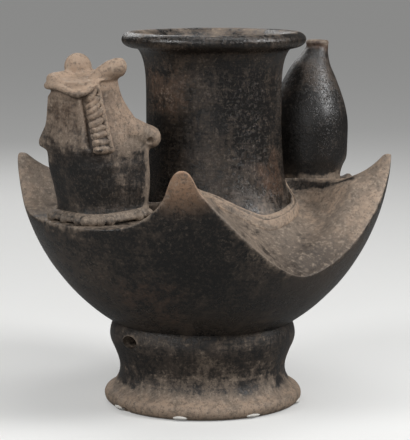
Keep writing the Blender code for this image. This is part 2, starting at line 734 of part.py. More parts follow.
def build_bands():
    """Two toothed bands on the head's flanks: a floor, a raised frame and cross bars."""
    rows = 3 * BAND_BARS + 3
    columns = len(BAND_COLUMN_SHARES) - 1
    for name, side in (("right_jaw_band", 1), ("left_jaw_band", -1)):

        def spot(share, across, proud):
            z = between(BAND_BOTTOM_Z, BAND_TOP_Z, share)
            centre_y, half_length, half_width, slope = head_section(z)
            y = BAND_IN - BOWL_RADIUS + across * between(BAND_BOTTOM_WIDTH, BAND_TOP_WIDTH, share) / 2
            along = (y - centre_y) / half_length
            x = half_width * (1 - abs(along) ** HEAD_SQUARENESS) ** (1 / HEAD_SQUARENESS)
            return Vector((side * (x + proud), y, z + slope * (y - centre_y)))

        back = []
        front = []
        for row in range(rows + 1):
            share = row / rows
            bar = row % 3 == 0
            frame_row = row in (0, 1, rows - 1, rows)
            for across in BAND_COLUMN_SHARES:
                frame = frame_row or abs(across) > BAND_FRAME_SHARE
                proud = BAND_FLOOR + BAND_RELIEF * (1.0 if frame else BAND_BAR_SHARE * bar)
                back.append(spot(share, across, SEAT_GAP))
                front.append(spot(share, across, SEAT_GAP + proud))
        add_sheet(name, back, front, rows, columns)


def add_sheet(name, back, front, rows, columns):
    """Close two sheets of points, one behind the other, into a body."""
    width = columns + 1
    shift = len(back)
    faces = []
    for row in range(rows):
        for column in range(columns):
            k = row * width + column
            square = (k, k + 1, k + width + 1, k + width)
            faces.append(square)
            faces.append(tuple(corner + shift for corner in reversed(square)))
    border = [k for k in range(width)]
    border += [row * width + columns for row in range(1, rows + 1)]
    border += [rows * width + column for column in range(columns - 1, -1, -1)]
    border += [row * width for row in range(rows - 1, 0, -1)]
    for here, there in zip(border, border[1:] + border[:1]):
        faces.append((there, here, here + shift, there + shift))
    add_solid(name, back + front, faces, TAUPE_CLAY, 0.6)


def tube(name, path, radii, sides, colour):
    """A coil of clay along a path, with its own radius at each point."""
    rings = []
    for k, point in enumerate(path):
        ahead = path[min(k + 1, len(path) - 1)] - path[max(k - 1, 0)]
        ahead.normalize()
        side = ahead.cross(Vector((0, 0, 1)) if abs(ahead.z) < 0.8 else Vector((0, 1, 0))).normalized()
        up = side.cross(ahead)
        ring = []
        for j in range(sides):
            turn = 2 * math.pi * j / sides
            ring.append(point + (side * math.cos(turn) + up * math.sin(turn)) * radii[k])
        rings.append(ring)
    loft(name, rings, colour, 0.6)


def build_coils_and_beads():
    """The coils down the front corners of the head, and the beads round its base."""
    steps = 7
    arc = 6
    top_z = HEAD_SECTIONS[-2][0]
    bottom_z = BAND_BOTTOM_Z - THROAT_COIL_HEIGHT
    for name, mirror in (("right_throat_coil", False), ("left_throat_coil", True)):
        middle = math.pi - THROAT_COIL_ANGLE if mirror else THROAT_COIL_ANGLE
        turns = [middle + THROAT_COIL_SPREAD * (2 * k / arc - 1) for k in range(arc + 1)]
        rings = []
        for step in range(steps + 1):
            share = step / steps
            z = between(top_z, bottom_z, share)
            swell = between(THROAT_COIL_END_SHARE, 1.0, math.sin(math.pi * share))
            height = THROAT_COIL_HEIGHT * swell + THROAT_COIL_FLARE * share ** 3
            ring = []
            for k, turn in enumerate(turns):
                ring.append(head_point(turn, z, SEAT_GAP + height * math.sin(math.pi * k / arc)))
            ring += [head_point(turn, z, SEAT_GAP) for turn in turns[-2:0:-1]]
            rings.append(ring)
        loft(name, rings, BROWN_CLAY, 0.6)

    steps = 3 * BEAD_COUNT
    path = []
    radii = []
    for step in range(steps + 1):
        turn = -QUARTER_TURN + between(-BEAD_HALF_SWEEP, BEAD_HALF_SWEEP, step / steps)
        beside = head_point(turn, HEAD_SECTIONS[0][0], BEAD_RADIUS + SEAT_GAP)
        path.append(seated(beside.x, beside.y) + Vector((0, 0, BEAD_RADIUS)))
        radii.append(between(BEAD_WAIST, BEAD_RADIUS, abs(math.sin(math.pi * step / 3))))
    tube("bead_collar", path, radii, 6, TAUPE_CLAY)


def main():
    """Clear the scene and build every member."""
    for old in list(bpy.data.objects):
        bpy.data.objects.remove(old)
    build_foot()
    build_bowl()
    build_shoulder()
    build_points()
    build_neck()
    build_spout()
    build_head()
    build_cap_and_lobes()
    build_eyes()
    build_bands()
    build_coils_and_beads()


if __name__ == "__main__":
    main()
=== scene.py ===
"""Lizard effigy vessel of burnished clay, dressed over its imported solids.

The clay members keep the sizes of the solids and are drawn finer, with soft luted joints. Lengths are
metres, +Z is up, the lizard's head is toward -Y and the tail spout toward +Y.
"""
import json
import math

import bpy
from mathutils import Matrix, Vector, noise


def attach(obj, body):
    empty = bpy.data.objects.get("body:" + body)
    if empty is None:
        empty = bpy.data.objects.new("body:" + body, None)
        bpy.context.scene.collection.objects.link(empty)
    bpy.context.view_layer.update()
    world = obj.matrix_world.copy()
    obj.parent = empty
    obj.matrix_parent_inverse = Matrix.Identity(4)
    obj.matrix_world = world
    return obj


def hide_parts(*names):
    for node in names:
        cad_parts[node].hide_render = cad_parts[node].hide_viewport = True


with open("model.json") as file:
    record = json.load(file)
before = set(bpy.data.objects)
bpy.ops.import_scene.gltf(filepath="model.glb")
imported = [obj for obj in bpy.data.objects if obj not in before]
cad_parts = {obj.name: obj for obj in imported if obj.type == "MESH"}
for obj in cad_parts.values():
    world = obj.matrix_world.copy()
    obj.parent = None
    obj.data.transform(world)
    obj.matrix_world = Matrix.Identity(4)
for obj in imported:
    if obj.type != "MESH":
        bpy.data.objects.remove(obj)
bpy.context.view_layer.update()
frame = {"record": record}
WHITE_FILL = next(row["base_color"] for row in frame["record"]["materials"] if row["slot"] == "white_fill")

bl_info = {
    "name": "Lizard effigy vessel",
    "version": (1, 0, 0),
    "blender": (4, 5, 0),
    "location": "3D View > Sidebar > Vessel",
    "description": "Builds the clay surfaces, the stage and the camera of a lizard effigy vessel",
    "category": "Add Mesh",
}

QUARTER_TURN = math.pi / 2
FULL_TURN = 2 * math.pi

# Directions of the four points round the bowl, in degrees: drop below the tallest, half width
POINTS = {-45: (0.0, 0.0118), -135: (0.004, 0.0110), 45: (0.002, 0.0085), 135: (0.003, 0.0085)}
POINT_ROUNDNESS = 2.5
POINT_STEEPNESS = 5.0
CORNER_Z = 0.146

# Scalloped edge: how sharply it rises to the points on the flanks and at the ends
FLANK_FRONT_SHARPNESS = 1.65
FLANK_BACK_SHARPNESS = 1.8
END_SHARPNESS = 5.0
EDGE_THICKNESS = 0.0052

# Shoulder: heights of its facets and hips at the neck, and how the hips swing to the spout and the head
NECK_OPENING_INSET = 0.0035
FLANK_NECK_Z = 0.134
SPOUT_NECK_Z = 0.141
HEAD_NECK_Z = 0.131
HIP_Z = 0.143
FACET_SAG = 0.002
SPOUT_HIP_SWING = math.radians(28)
HEAD_HIP_SWING = math.radians(8)
SPOUT_HIP_STEEPNESS = 6
HEAD_HIP_STEEPNESS = 2
HIP_SWING_SHARE = 0.8

# Outer and inner side of the foot from the bowl down and up again: radius and height
FOOT_PROFILE = (
    (0.0560, 0.0570), (0.0584, 0.0540), (0.0602, 0.0500), (0.0610, 0.0450), (0.0602, 0.0405),
    (0.0578, 0.0350), (0.0556, 0.0290), (0.0546, 0.0240), (0.0550, 0.0190), (0.0570, 0.0143),
    (0.0600, 0.0108), (0.0632, 0.0088), (0.0647, 0.0066), (0.0650, 0.0042), (0.0642, 0.0018),
    (0.0622, 0.0003), (0.0590, 0.0000), (0.0545, 0.0000), (0.0520, 0.0008), (0.0506, 0.0036),
    (0.0490, 0.0120), (0.0468, 0.0240), (0.0490, 0.0340), (0.0515, 0.0420), (0.0500, 0.0540),
)

# Neck: place along Y, wall, and the flare at its foot and at its mouth
NECK_Y = 0.009
NECK_WALL = 0.0065
NECK_BASE_Z = 0.118
NECK_BASE_FLARE = 0.013
NECK_BASE_REACH = 0.018
NECK_MOUTH_FLARE = 0.006
NECK_MOUTH_REACH = 0.008

# Spout: height, place of its centre along Y, radius
SPOUT_SECTIONS = (
    (0.1300, 0.0890, 0.0262), (0.1370, 0.0890, 0.0243), (0.1420, 0.0893, 0.0240), (0.1470, 0.0899, 0.0250),
    (0.1530, 0.0910, 0.0268), (0.1620, 0.0912, 0.0273), (0.1750, 0.0913, 0.0272), (0.1850, 0.0916, 0.0258),
    (0.1960, 0.0920, 0.0222), (0.2060, 0.0926, 0.0178), (0.2150, 0.0935, 0.0134), (0.2220, 0.0966, 0.0097),
    (0.2268, 0.0989, 0.0081), (0.2296, 0.0990, 0.0083), (0.2312, 0.0990, 0.0076), (0.2316, 0.0990, 0.0062),
    (0.2308, 0.0990, 0.0048), (0.2260, 0.0987, 0.0042), (0.2180, 0.0945, 0.0068), (0.2060, 0.0926, 0.0140),
)

# Head: height, place of its centre along Y, half length, half width, slope of the section toward +Y
HEAD_SECTIONS = (
    (0.1220, -0.0798, 0.0276, 0.0230, 0.00), (0.1300, -0.0798, 0.0266, 0.0220, 0.00),
    (0.1370, -0.0798, 0.0258, 0.0212, 0.00), (0.1475, -0.0806, 0.0272, 0.0222, 0.00),
    (0.1600, -0.0824, 0.0284, 0.0228, 0.00), (0.1655, -0.0829, 0.0286, 0.0228, 0.00),
    (0.1705, -0.0834, 0.0288, 0.0232, 0.00), (0.1770, -0.0846, 0.0278, 0.0226, 0.02),
    (0.1870, -0.0870, 0.0242, 0.0206, 0.05), (0.1940, -0.0896, 0.0214, 0.0194, 0.08),
    (0.2020, -0.0921, 0.0188, 0.0180, 0.11), (0.2108, -0.0930, 0.0174, 0.0172, 0.15),
    (0.2160, -0.0925, 0.0168, 0.0174, 0.18),
)
HEAD_SQUARENESS = 4.2
HEAD_WAIST_Z = 0.1370

# Relief of the head: its corner ridges, their flare at the jaw, the groove beside them, the hollow panel
RIDGE_ANGLE = 45
FLARE_HEIGHT = 0.0024
GROOVE_DEPTH = 0.0016
GROOVE_ANGLE = 15
PANEL_DEPTH = 0.0014
PANEL_HALF_WIDTH = 38
PANEL_SIDE = 12
PANEL_ARCH_Z = 0.2065
PANEL_ARCH_DROP = 0.0030


# Properties

def length(name, description, default):
    """A size in metres that a user may change."""
    return bpy.props.FloatProperty(name=name, description=description, default=default, unit="LENGTH",
                                   precision=4, min=0.0)


def colour(name, description, default):
    """A clay or stage colour that a user may change."""
    return bpy.props.FloatVectorProperty(name=name, description=description, default=default,
                                         subtype="COLOR", size=3, min=0.0, max=1.0)


def angle(name, description, degrees):
    """An angle that a user may change, given in degrees."""
    return bpy.props.FloatProperty(name=name, description=description, default=math.radians(degrees),
                                   subtype="ANGLE")


def power(name, description, default):
    """A lamp's power in watts that a user may change."""
    return bpy.props.FloatProperty(name=name, description=description, default=default, unit="POWER",
                                   min=0.0)


class VesselSizes(bpy.types.PropertyGroup):
    """Sizes of the clay members."""

    bowl_radius: length("Bowl radius", "Radius of the bowl at its widest girth", 0.1215)
    bowl_depth: length("Bowl depth", "Depth of the round bowl below its widest girth", 0.133)
    bowl_bottom: length("Bowl bottom", "Height of the bowl's lowest point", 0.037)
    bowl_wall: length("Bowl wall", "Thickness of the bowl's wall", 0.006)
    flank_edge: length("Flank edge", "Height of the scalloped edge on the flanks", 0.095)
    head_edge: length("Head edge", "Height of the scalloped edge under the head", 0.127)
    spout_edge: length("Spout edge", "Height of the scalloped edge under the spout", 0.139)
    point_top: length("Point top", "Height of the tallest corner point", 0.165)
    neck_radius: length("Neck radius", "Radius of the neck at its middle", 0.0435)
    neck_top: length("Neck top", "Height at which the rolled rim begins", 0.2290)
    rim_radius: length("Rim radius", "Outer radius of the rolled rim", 0.060)
    rim_height: length("Rim height", "Height of the rolled rim", 0.0115)
    coil_width: length("Coil width", "Width of the coil at the neck's foot", 0.0080)
    coil_height: length("Coil height", "Height of the coil at the neck's foot", 0.0042)
    bead_radius: length("Bead radius", "Radius of the beads round the head's base", 0.0032)


class ClayColours(bpy.types.PropertyGroup):
    """Colours of the fired clay, of the fills and of the floor."""

    smoked: colour("Smoked clay", "Burnished clay blackened by smoke", (0.0110, 0.0100, 0.0092))
    brown: colour("Brown clay", "Thinner smoke over the brown body", (0.058, 0.044, 0.034))
    rust: colour("Rust clay", "Reddish clay that the smoke left out", (0.125, 0.066, 0.040))
    taupe: colour("Taupe clay", "Surface rubbed to a grey brown", (0.178, 0.138, 0.105))
    tan: colour("Tan clay", "Bare clay on handled edges", (0.335, 0.246, 0.178))
    orange: colour("Orange clay", "Bare clay fired in clear air", (0.350, 0.210, 0.128))
    soil: colour("Soil", "Pale soil left in hollows and on the neck", (0.370, 0.295, 0.225))
    fill: colour("White fill", "Plaster in the chips of the foot", WHITE_FILL)
    floor: colour("Floor", "Plain pale floor", (0.62, 0.62, 0.61))


class StageSetup(bpy.types.PropertyGroup):
    """Camera and lamps."""

    azimuth: angle("Azimuth", "Direction of the camera round the vessel", 51)
    elevation: angle("Elevation", "Height angle of the camera", 8.5)
    distance: length("Distance", "Distance of the camera from the vessel", 1.2)
    aim_height: length("Aim height", "Height that the camera looks at", 0.118)
    key_power: power("Key power", "Power of the soft lamp on the right", 11.0)
    side_power: power("Side power", "Power of the soft lamp on the left", 7.0)
    top_power: power("Top power", "Power of the soft lamp overhead", 5.0)
    fill_power: power("Fill power", "Power of the lamps in front and behind", 3.0)


# Mesh helpers

# Gap that a weld closes, strength of one smoothing, thickness given to a luted sheet
WELD_GAP = 0.00002
SMOOTHING = 0.5
LUTING_DEPTH = 0.002


def clear_selection():
    """Leave edit mode and let go of everything."""
    if bpy.context.object and bpy.context.object.mode != "OBJECT":
        bpy.ops.object.mode_set(mode="OBJECT")
    bpy.ops.object.select_all(action="DESELECT")


def take(piece):
    """Make one piece the only selected and active one."""
    clear_selection()
    piece.select_set(True)
    bpy.context.view_layer.objects.active = piece


def named(name):
    """Name the primitive that was just added."""
    piece = bpy.context.object
    piece.name = name
    piece.data.name = name
    return piece


def weld(piece):
    """Close seams and poles, and turn all faces outward."""
    take(piece)
    bpy.ops.object.mode_set(mode="EDIT")
    bpy.ops.mesh.select_all(action="SELECT")
    bpy.ops.mesh.remove_doubles(threshold=WELD_GAP)
    bpy.ops.mesh.normals_make_consistent(inside=False)
    bpy.ops.object.mode_set(mode="OBJECT")
    bpy.ops.object.shade_smooth()


def sheet(name, columns, rows, place):
    """Bend a flat sheet: place gives the point for the shares of its width and of its length."""
    clear_selection()
    bpy.ops.mesh.primitive_grid_add(x_subdivisions=columns, y_subdivisions=rows, size=2.0)
    piece = named(name)
    for vertex in piece.data.vertices:
        vertex.co = place((vertex.co.x + 1) / 2, (vertex.co.y + 1) / 2)
    weld(piece)
    return piece


def rolled(name, columns, rows, place):
    """Roll a sheet into a body: place gives the point for a turn and a row."""
    return sheet(name, columns, rows, lambda width, along: place(width * FULL_TURN, round(along * rows)))


def apply_modifiers(piece):
    """Apply every modifier of a piece in order."""
    take(piece)
    for modifier in list(piece.modifiers):
        bpy.ops.object.modifier_apply(modifier=modifier.name)


def smoother(piece, repeats):
    """A modifier that smooths a piece."""
    smooth = piece.modifiers.new("smooth", "SMOOTH")
    smooth.factor = SMOOTHING
    smooth.iterations = repeats
    return smooth


def soften(piece, weights, repeats):
    """Smooth a piece where weights gives a vertex a share above 0."""
    group = piece.vertex_groups.new(name="soft")
    for vertex in piece.data.vertices:
        share = weights(vertex.co)
        if share > 0.0:
            group.add([vertex.index], share, "REPLACE")
    smoother(piece, repeats).vertex_group = group.name
    apply_modifiers(piece)
    piece.vertex_groups.clear()


def knead(piece, depth, size):
    """Press shallow hollows into a piece, as hands leave them."""
    clouds = bpy.data.textures.new(piece.name + "_hollows", "CLOUDS")
    clouds.noise_scale = size
    clouds.noise_depth = 1
    hollows = piece.modifiers.new("hollows", "DISPLACE")
    hollows.texture = clouds
    hollows.texture_coords = "LOCAL"
    hollows.mid_level = 0.0
    hollows.strength = -depth
    apply_modifiers(piece)


def close_below(piece):
    """Give an open sheet a thickness below it."""
    thick = piece.modifiers.new("thickness", "SOLIDIFY")
    thick.thickness = LUTING_DEPTH
    thick.offset = -1.0
    apply_modifiers(piece)


def carve(piece, cutter):
    """Cut a body out of a piece and throw the body away."""
    boolean = piece.modifiers.new("carve", "BOOLEAN")
    boolean.operation = "DIFFERENCE"
    boolean.solver = "EXACT"
    boolean.object = cutter
    apply_modifiers(piece)
    bpy.data.objects.remove(cutter)


def fuse(pieces, name, voxel, repeats):
    """Join bodies into one skin of even faces with soft fillets between them."""
    clear_selection()
    for piece in pieces:
        piece.select_set(True)
    bpy.context.view_layer.objects.active = pieces[0]
    bpy.ops.object.join()
    whole = named(name)
    remesh = whole.modifiers.new("skin", "REMESH")
    remesh.mode = "VOXEL"
    remesh.voxel_size = voxel
    remesh.use_smooth_shade = True
    smoother(whole, repeats)
    apply_modifiers(whole)
    return whole


def ridges(piece, repeats):
    """How far each point stands out from a softened copy of its piece, in metres."""
    smooth = smoother(piece, repeats)
    softened = piece.evaluated_get(bpy.context.evaluated_depsgraph_get()).to_mesh()
    gaps = [(here.co - there.co).dot(here.normal)
            for here, there in zip(piece.data.vertices, softened.vertices)]
    piece.modifiers.remove(smooth)
    return gaps


# Fineness of the patches and of the clouds in the wear
PATCH_FINENESS = 190
CLOUD_FINENESS = 60


def wear_down(piece, rule, repeats=10, full=0.0005, share=0.25, mottled=0.16):
    """Store for each point a value from 0, burnished, to 1, bare clay: the rule's wear together with the
    painted shade and light that some rules add, raised on ridges and lowered in creases.
    """
    worn = piece.data.attributes.new("worn", "FLOAT", "POINT")
    for vertex, gap in zip(piece.data.vertices, ridges(piece, repeats)):
        ridge = min(max(gap / full, -1.0), 1.0)
        patch = (noise.turbulence(vertex.co * PATCH_FINENESS, 3, False)
                 + noise.noise(vertex.co * CLOUD_FINENESS))
        worn.data[vertex.index].value = rule(vertex.co, vertex.normal) + share * ridge + mottled * patch


def hand_over(piece, finish, slot, *nodes):
    """Give a piece a finish by its name and tie it to the solids it stands for."""
    piece.data.materials.clear()
    piece.data.materials.append(finish_named(finish))
    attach(piece, "root")
    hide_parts(*nodes)


# Shape of the body

def mix(low, high, share):
    """The value at a share of the way from low to high."""
    return low + (high - low) * share


def ease(share):
    """Ease from 0 to 1, held at both ends."""
    share = min(max(share, 0.0), 1.0)
    return share * share * (3 - 2 * share)


def fade(value, start, end):
    """0 up to start, 1 from end on and eased between them; end may lie below start."""
    return ease((value - start) / (end - start))


def hump(value, centre, reach):
    """1 at the centre, eased down to 0 at a reach to either side."""
    return ease(1 - abs(value - centre) / reach)


def around(turn, reach, z, centre_y=0.0):
    """A point at a reach from an upright axis."""
    return Vector((reach * math.cos(turn), centre_y + reach * math.sin(turn), z))


def flow(rows, steps):
    """Rows of numbers on a smooth curve through the given rows."""
    curve = []
    last = len(rows) - 1
    for k in range(last):
        before, here, there, after = (rows[min(max(j, 0), last)] for j in (k - 1, k, k + 1, k + 2))
        for step in range(steps):
            t = step / steps
            curve.append([0.5 * (2 * b + (c - a) * t + (2 * a - 5 * b + 4 * c - d) * t * t
                                 + (3 * b - a - 3 * c + d) * t ** 3)
                          for a, b, c, d in zip(before, here, there, after)])
    curve.append(list(rows[-1]))
    return curve


# Rows of the body's skin, how they crowd toward the edge, the shape of its underside, and the rounds in
# which a place on it is found
BODY_COLUMNS = 400
BOWL_ROWS = 56
SHOULDER_ROWS = 42
UNDER_ROWS = 6
INNER_ROWS = 24
BOWL_CROWDING = 1.5
SHOULDER_CROWDING = 1.3
CORNER_CROWDING = 0.6
EDGE_CROWN = 0.0006
UNDERSIDE_SHARE = 0.92
UNDERSIDE_LIFT = 0.04
SETTLING_STEPS = 12
NECK_SETTLING_STEPS = 10


def facet_value(turn, flank, spout_side, head_side):
    """Pick the value of the facet that lies in a direction."""
    facet = math.floor(turn / QUARTER_TURN + 0.5) % 4
    return (flank, spout_side, flank, head_side)[facet]


def from_facet(turn):
    """0 in the middle of a facet, 1 on the hip at either end of it."""
    return abs(2 * ((turn / QUARTER_TURN + 0.5) % 1.0 - 0.5))


def rise(turn):
    """The share by which the edge has risen toward the hips."""
    flank = FLANK_FRONT_SHARPNESS if math.sin(turn) < 0 else FLANK_BACK_SHARPNESS
    return from_facet(turn) ** facet_value(turn, flank, END_SHARPNESS, END_SHARPNESS)


def nearest_point(sizes, turn):
    """Distance from the nearest corner point in half widths of it, and its drop below the tallest."""
    found = None
    for degrees, (drop, half_width) in POINTS.items():
        off = abs((turn - math.radians(degrees) + math.pi) % FULL_TURN - math.pi)
        if found is None or off < found[0]:
            found = (off, off * sizes.bowl_radius / half_width, drop)
    return found[1:]


def valley_edge(sizes, turn):
    """Height of the edge in the middle of the facet that lies in a direction."""
    return facet_value(turn, sizes.flank_edge, sizes.spout_edge, sizes.head_edge)


def edge_height(sizes, turn):
    """Height of the scalloped edge, which rises to a rounded point on each corner."""
    beside, drop = nearest_point(sizes, turn)
    top = sizes.point_top - drop
    scallop = mix(valley_edge(sizes, turn), top, rise(turn))
    tongue = top - (top - CORNER_Z) * beside ** POINT_ROUNDNESS
    return max(scallop, tongue)


def bowl_radius(sizes, z, shrink=1.0):
    """Radius of the bowl's outer wall at a height, or of the same egg shape drawn smaller."""
    drop = (sizes.bowl_bottom + sizes.bowl_depth - z) / (sizes.bowl_depth * shrink)
    return sizes.bowl_radius * shrink * math.sqrt(max(1 - drop * drop, 0.0))


def shoulder_reach(sizes, turn):
    """How far from its axis the shoulder begins and ends."""
    outer = bowl_radius(sizes, edge_height(sizes, turn)) - EDGE_THICKNESS
    return sizes.neck_radius - NECK_OPENING_INSET, outer


def unswung(turn, share):
    """The direction a place would have if the hips near the neck weren't swung to the spout and the head."""
    swing = SPOUT_HIP_SWING if math.sin(turn) > 0 else HEAD_HIP_SWING
    corner = QUARTER_TURN / 2
    hip = corner + swing * (1 - ease(share / HIP_SWING_SHARE))
    level = math.asin(abs(math.sin(turn)))
    if level < hip:
        level *= corner / hip
    else:
        level = corner + (level - hip) * corner / (QUARTER_TURN - hip)
    return math.atan2(math.copysign(math.sin(level), math.sin(turn)),
                      math.copysign(math.cos(level), math.cos(turn)))


def shoulder_point(sizes, turn, share):
    """A point of the shoulder's top, from the neck's opening (0) to the edge (1)."""
    ruling = unswung(turn, share)
    near_neck = 1 - ease(share / HIP_SWING_SHARE)
    steepness = SPOUT_HIP_STEEPNESS if math.sin(turn) > 0 else HEAD_HIP_STEEPNESS
    neck_z = facet_value(ruling, FLANK_NECK_Z, SPOUT_NECK_Z, HEAD_NECK_Z)
    edge_z = valley_edge(sizes, ruling)
    valley_z = mix(neck_z, edge_z, share) - FACET_SAG * 4 * share * (1 - share)
    edge_lift = min(rise(ruling) * (sizes.point_top - edge_z) / (CORNER_Z - edge_z), 1.0)
    lift = edge_lift ** (1 - near_neck) * from_facet(ruling) ** (steepness * near_neck)
    scallop = min(mix(valley_edge(sizes, turn), sizes.point_top, rise(turn)), CORNER_Z)
    horn = max(edge_height(sizes, turn) - scallop, 0.0)
    z = mix(valley_z, mix(HIP_Z, CORNER_Z, share), lift) + horn * share ** POINT_STEEPNESS
    point = around(turn, mix(*shoulder_reach(sizes, turn), share), z)
    point.y += NECK_Y * (1 - share)
    return point


def shoulder_place(sizes, x, y):
    """Direction and share of the way to the edge of the shoulder's point above a place on the ground."""
    share = 0.5
    for _ in range(SETTLING_STEPS):
        along = y - NECK_Y * (1 - share)
        turn = math.atan2(along, x)
        inner, outer = shoulder_reach(sizes, turn)
        share = min(max((math.hypot(x, along) - inner) / (outer - inner), 0.0), 1.0)
    return turn, share


def shoulder_height(sizes, x, y):
    """Height of the shoulder's top above a place on the ground."""
    return shoulder_point(sizes, *shoulder_place(sizes, x, y)).z


def corner_spread(turn):
    """Crowd the columns of the body toward its four corners."""
    return turn + CORNER_CROWDING / 4 * math.sin(4 * turn)


def body_point(sizes, turn, row):
    """A point of the body's skin: up the bowl, over the edge, to the neck and back inside."""
    turn = corner_spread(turn)
    edge_z = edge_height(sizes, turn)
    widest_z = sizes.bowl_bottom + sizes.bowl_depth
    if row <= BOWL_ROWS:
        share = 1 - (1 - row / BOWL_ROWS) ** BOWL_CROWDING
        tilt = math.acos((widest_z - edge_z) / sizes.bowl_depth) * share
        return around(turn, sizes.bowl_radius * math.sin(tilt), widest_z - sizes.bowl_depth * math.cos(tilt))
    row -= BOWL_ROWS
    if row <= SHOULDER_ROWS:
        if row == 1:
            return around(turn, bowl_radius(sizes, edge_z) - EDGE_THICKNESS / 2, edge_z + EDGE_CROWN)
        return shoulder_point(sizes, turn, 1 - ((row - 2) / (SHOULDER_ROWS - 2)) ** SHOULDER_CROWDING)
    row -= SHOULDER_ROWS
    if row <= UNDER_ROWS:
        point = shoulder_point(sizes, turn, (row - 1) / (UNDER_ROWS - 1) * UNDERSIDE_SHARE)
        point.z = min(point.z, edge_z + UNDERSIDE_LIFT) - sizes.bowl_wall
        return point
    shrink = 1 - sizes.bowl_wall / sizes.bowl_radius
    start = math.acos(min((widest_z - edge_z + 2 * sizes.bowl_wall) / (sizes.bowl_depth * shrink), 1.0))
    tilt = start * (INNER_ROWS - row) / (INNER_ROWS - UNDER_ROWS)
    return around(turn, sizes.bowl_radius * shrink * math.sin(tilt),
                  widest_z - sizes.bowl_depth * shrink * math.cos(tilt))


# Shape of the neck, the spout and the head

def neck_side(sizes, z):
    """Radius of the neck's outer side, flared at its foot and at its mouth."""
    base = NECK_BASE_FLARE * math.exp((NECK_BASE_Z - z) / NECK_BASE_REACH)
    mouth = NECK_MOUTH_FLARE * math.exp((z - sizes.neck_top) / NECK_MOUTH_REACH)
    return sizes.neck_radius + base + mouth


def by_neck(sizes, turn, reach):
    """A point on the shoulder in a direction from the neck's axis."""
    inner, outer = shoulder_reach(sizes, turn)
    return shoulder_point(sizes, turn, max((reach - inner) / (outer - inner), 0.0))


def neck_foot_reach(sizes, turn):
    """How far from its axis the neck's outer side meets the shoulder."""
    reach = sizes.neck_radius
    for _ in range(NECK_SETTLING_STEPS):
        reach = neck_side(sizes, by_neck(sizes, turn, reach).z)
    return reach


def squared(turn):
    """Cosine and sine of a turn, squared off to the head's box-like section."""
    exponent = 2 / HEAD_SQUARENESS
    return [math.copysign(abs(value) ** exponent, value) for value in (math.cos(turn), math.sin(turn))]


def bell(value, width):
    """1 at 0, falling off to either side as a bell does."""
    return math.exp(-(value / width) ** 2)


def head_relief(turn, z):
    """How far the head's skin stands out: corner ridges that flare at the jaw, grooves, a hollow panel."""
    aside = math.degrees(abs((turn + QUARTER_TURN + math.pi) % FULL_TURN - math.pi))
    far = 1.0 if math.cos(turn) < 0 else 0.0
    off = aside - RIDGE_ANGLE
    held = fade(z, 0.2085, 0.2045) * fade(z, 0.1685, 0.1725)
    ridge = mix(0.0010 + 0.0010 * far, 0.0018 + 0.0014 * far, fade(z, 0.2040, 0.1740)) * bell(off, 7)
    flare = FLARE_HEIGHT * far * bell(off, 9) * fade(z, 0.1870, 0.1750)
    groove = GROOVE_DEPTH * bell(off - GROOVE_ANGLE, 6) * fade(z, 0.1720, 0.1760)
    arch_z = PANEL_ARCH_Z - PANEL_ARCH_DROP * (aside / PANEL_HALF_WIDTH) ** 2
    panel = PANEL_DEPTH * fade(aside, PANEL_HALF_WIDTH, PANEL_HALF_WIDTH - PANEL_SIDE)
    panel *= fade(z, arch_z, arch_z - 0.003) * fade(z, 0.1680, 0.1880)
    return held * (ridge + flare - groove - panel)


HEAD_FLOW = flow(HEAD_SECTIONS, steps=8)


def head_section(z):
    """Centre, half length, half width and slope of the head's section at a height."""
    k = 0
    while k < len(HEAD_FLOW) - 2 and z > HEAD_FLOW[k + 1][0]:
        k += 1
    low, high = HEAD_FLOW[k], HEAD_FLOW[k + 1]
    share = min(max((z - low[0]) / (high[0] - low[0]), 0.0), 1.0)
    return [mix(a, b, share) for a, b in zip(low[1:], high[1:])]


def head_point(turn, z, proud=0.0):
    """A point of the head's side, standing proud of it by a distance."""
    centre_y, half_length, half_width, slope = head_section(z)
    cosine, sine = squared(turn)
    outward = Vector((cosine / half_width, sine / half_length, 0)).normalized()
    along = half_length * sine
    return Vector((half_width * cosine, centre_y + along, z + slope * along)) + outward * proud


BALL_SEGMENTS = 40
BALL_RINGS = 24


def ball(name, centre, radii, lean=(0.0, 0.0, 0.0)):
    """An egg of clay, turned by a lean about its own centre."""
    clear_selection()
    bpy.ops.mesh.primitive_uv_sphere_add(segments=BALL_SEGMENTS, ring_count=BALL_RINGS, radius=1.0,
                                         location=centre, rotation=lean, scale=radii)
    bpy.ops.object.transform_apply(location=True, rotation=True, scale=True)
    return named(name)


def rope(name, path, radii, sides=14):
    """A roll of clay along a path, with its own radius at each point and round ends."""
    path = [Vector(point) for point in path]
    count = len(path)

    def place(turn, row):
        k = min(max(row - 1, 0), count - 1)
        ahead = (path[min(k + 1, count - 1)] - path[max(k - 1, 0)]).normalized()
        side = ahead.cross(Vector((0, 0, 1)) if abs(ahead.z) < 0.8 else Vector((0, 1, 0))).normalized()
        up = side.cross(ahead)
        radius = radii[k] if 0 < row <= count else 0.0
        return path[k] + (side * math.cos(turn) + up * math.sin(turn)) * radius

    return rolled(name, sides, count + 1, place)


# Clay finishes

# Share of a place's radius within which its strength is full
FULL_SHARE = 0.2


class Field:
    """A value that varies over a surface; sums and products of it add Math nodes."""

    def __init__(self, paint, socket):
        self.paint = paint
        self.socket = socket

    def maths(self, operation, *values):
        return self.paint.node("ShaderNodeMath", {"operation": operation}, *values)

    def __add__(self, other):
        return self.maths("ADD", self, other)

    __radd__ = __add__

    def __sub__(self, other):
        return self.maths("SUBTRACT", self, other)

    def __rsub__(self, other):
        return self.maths("SUBTRACT", other, self)

    def __mul__(self, other):
        return self.maths("MULTIPLY", self, other)

    __rmul__ = __mul__

    def ramp(self, low, high):
        """0 below low, 1 above high, and smooth between them."""
        return self.paint.node("ShaderNodeMapRange", {"interpolation_type": "SMOOTHSTEP"}, self, low, high)


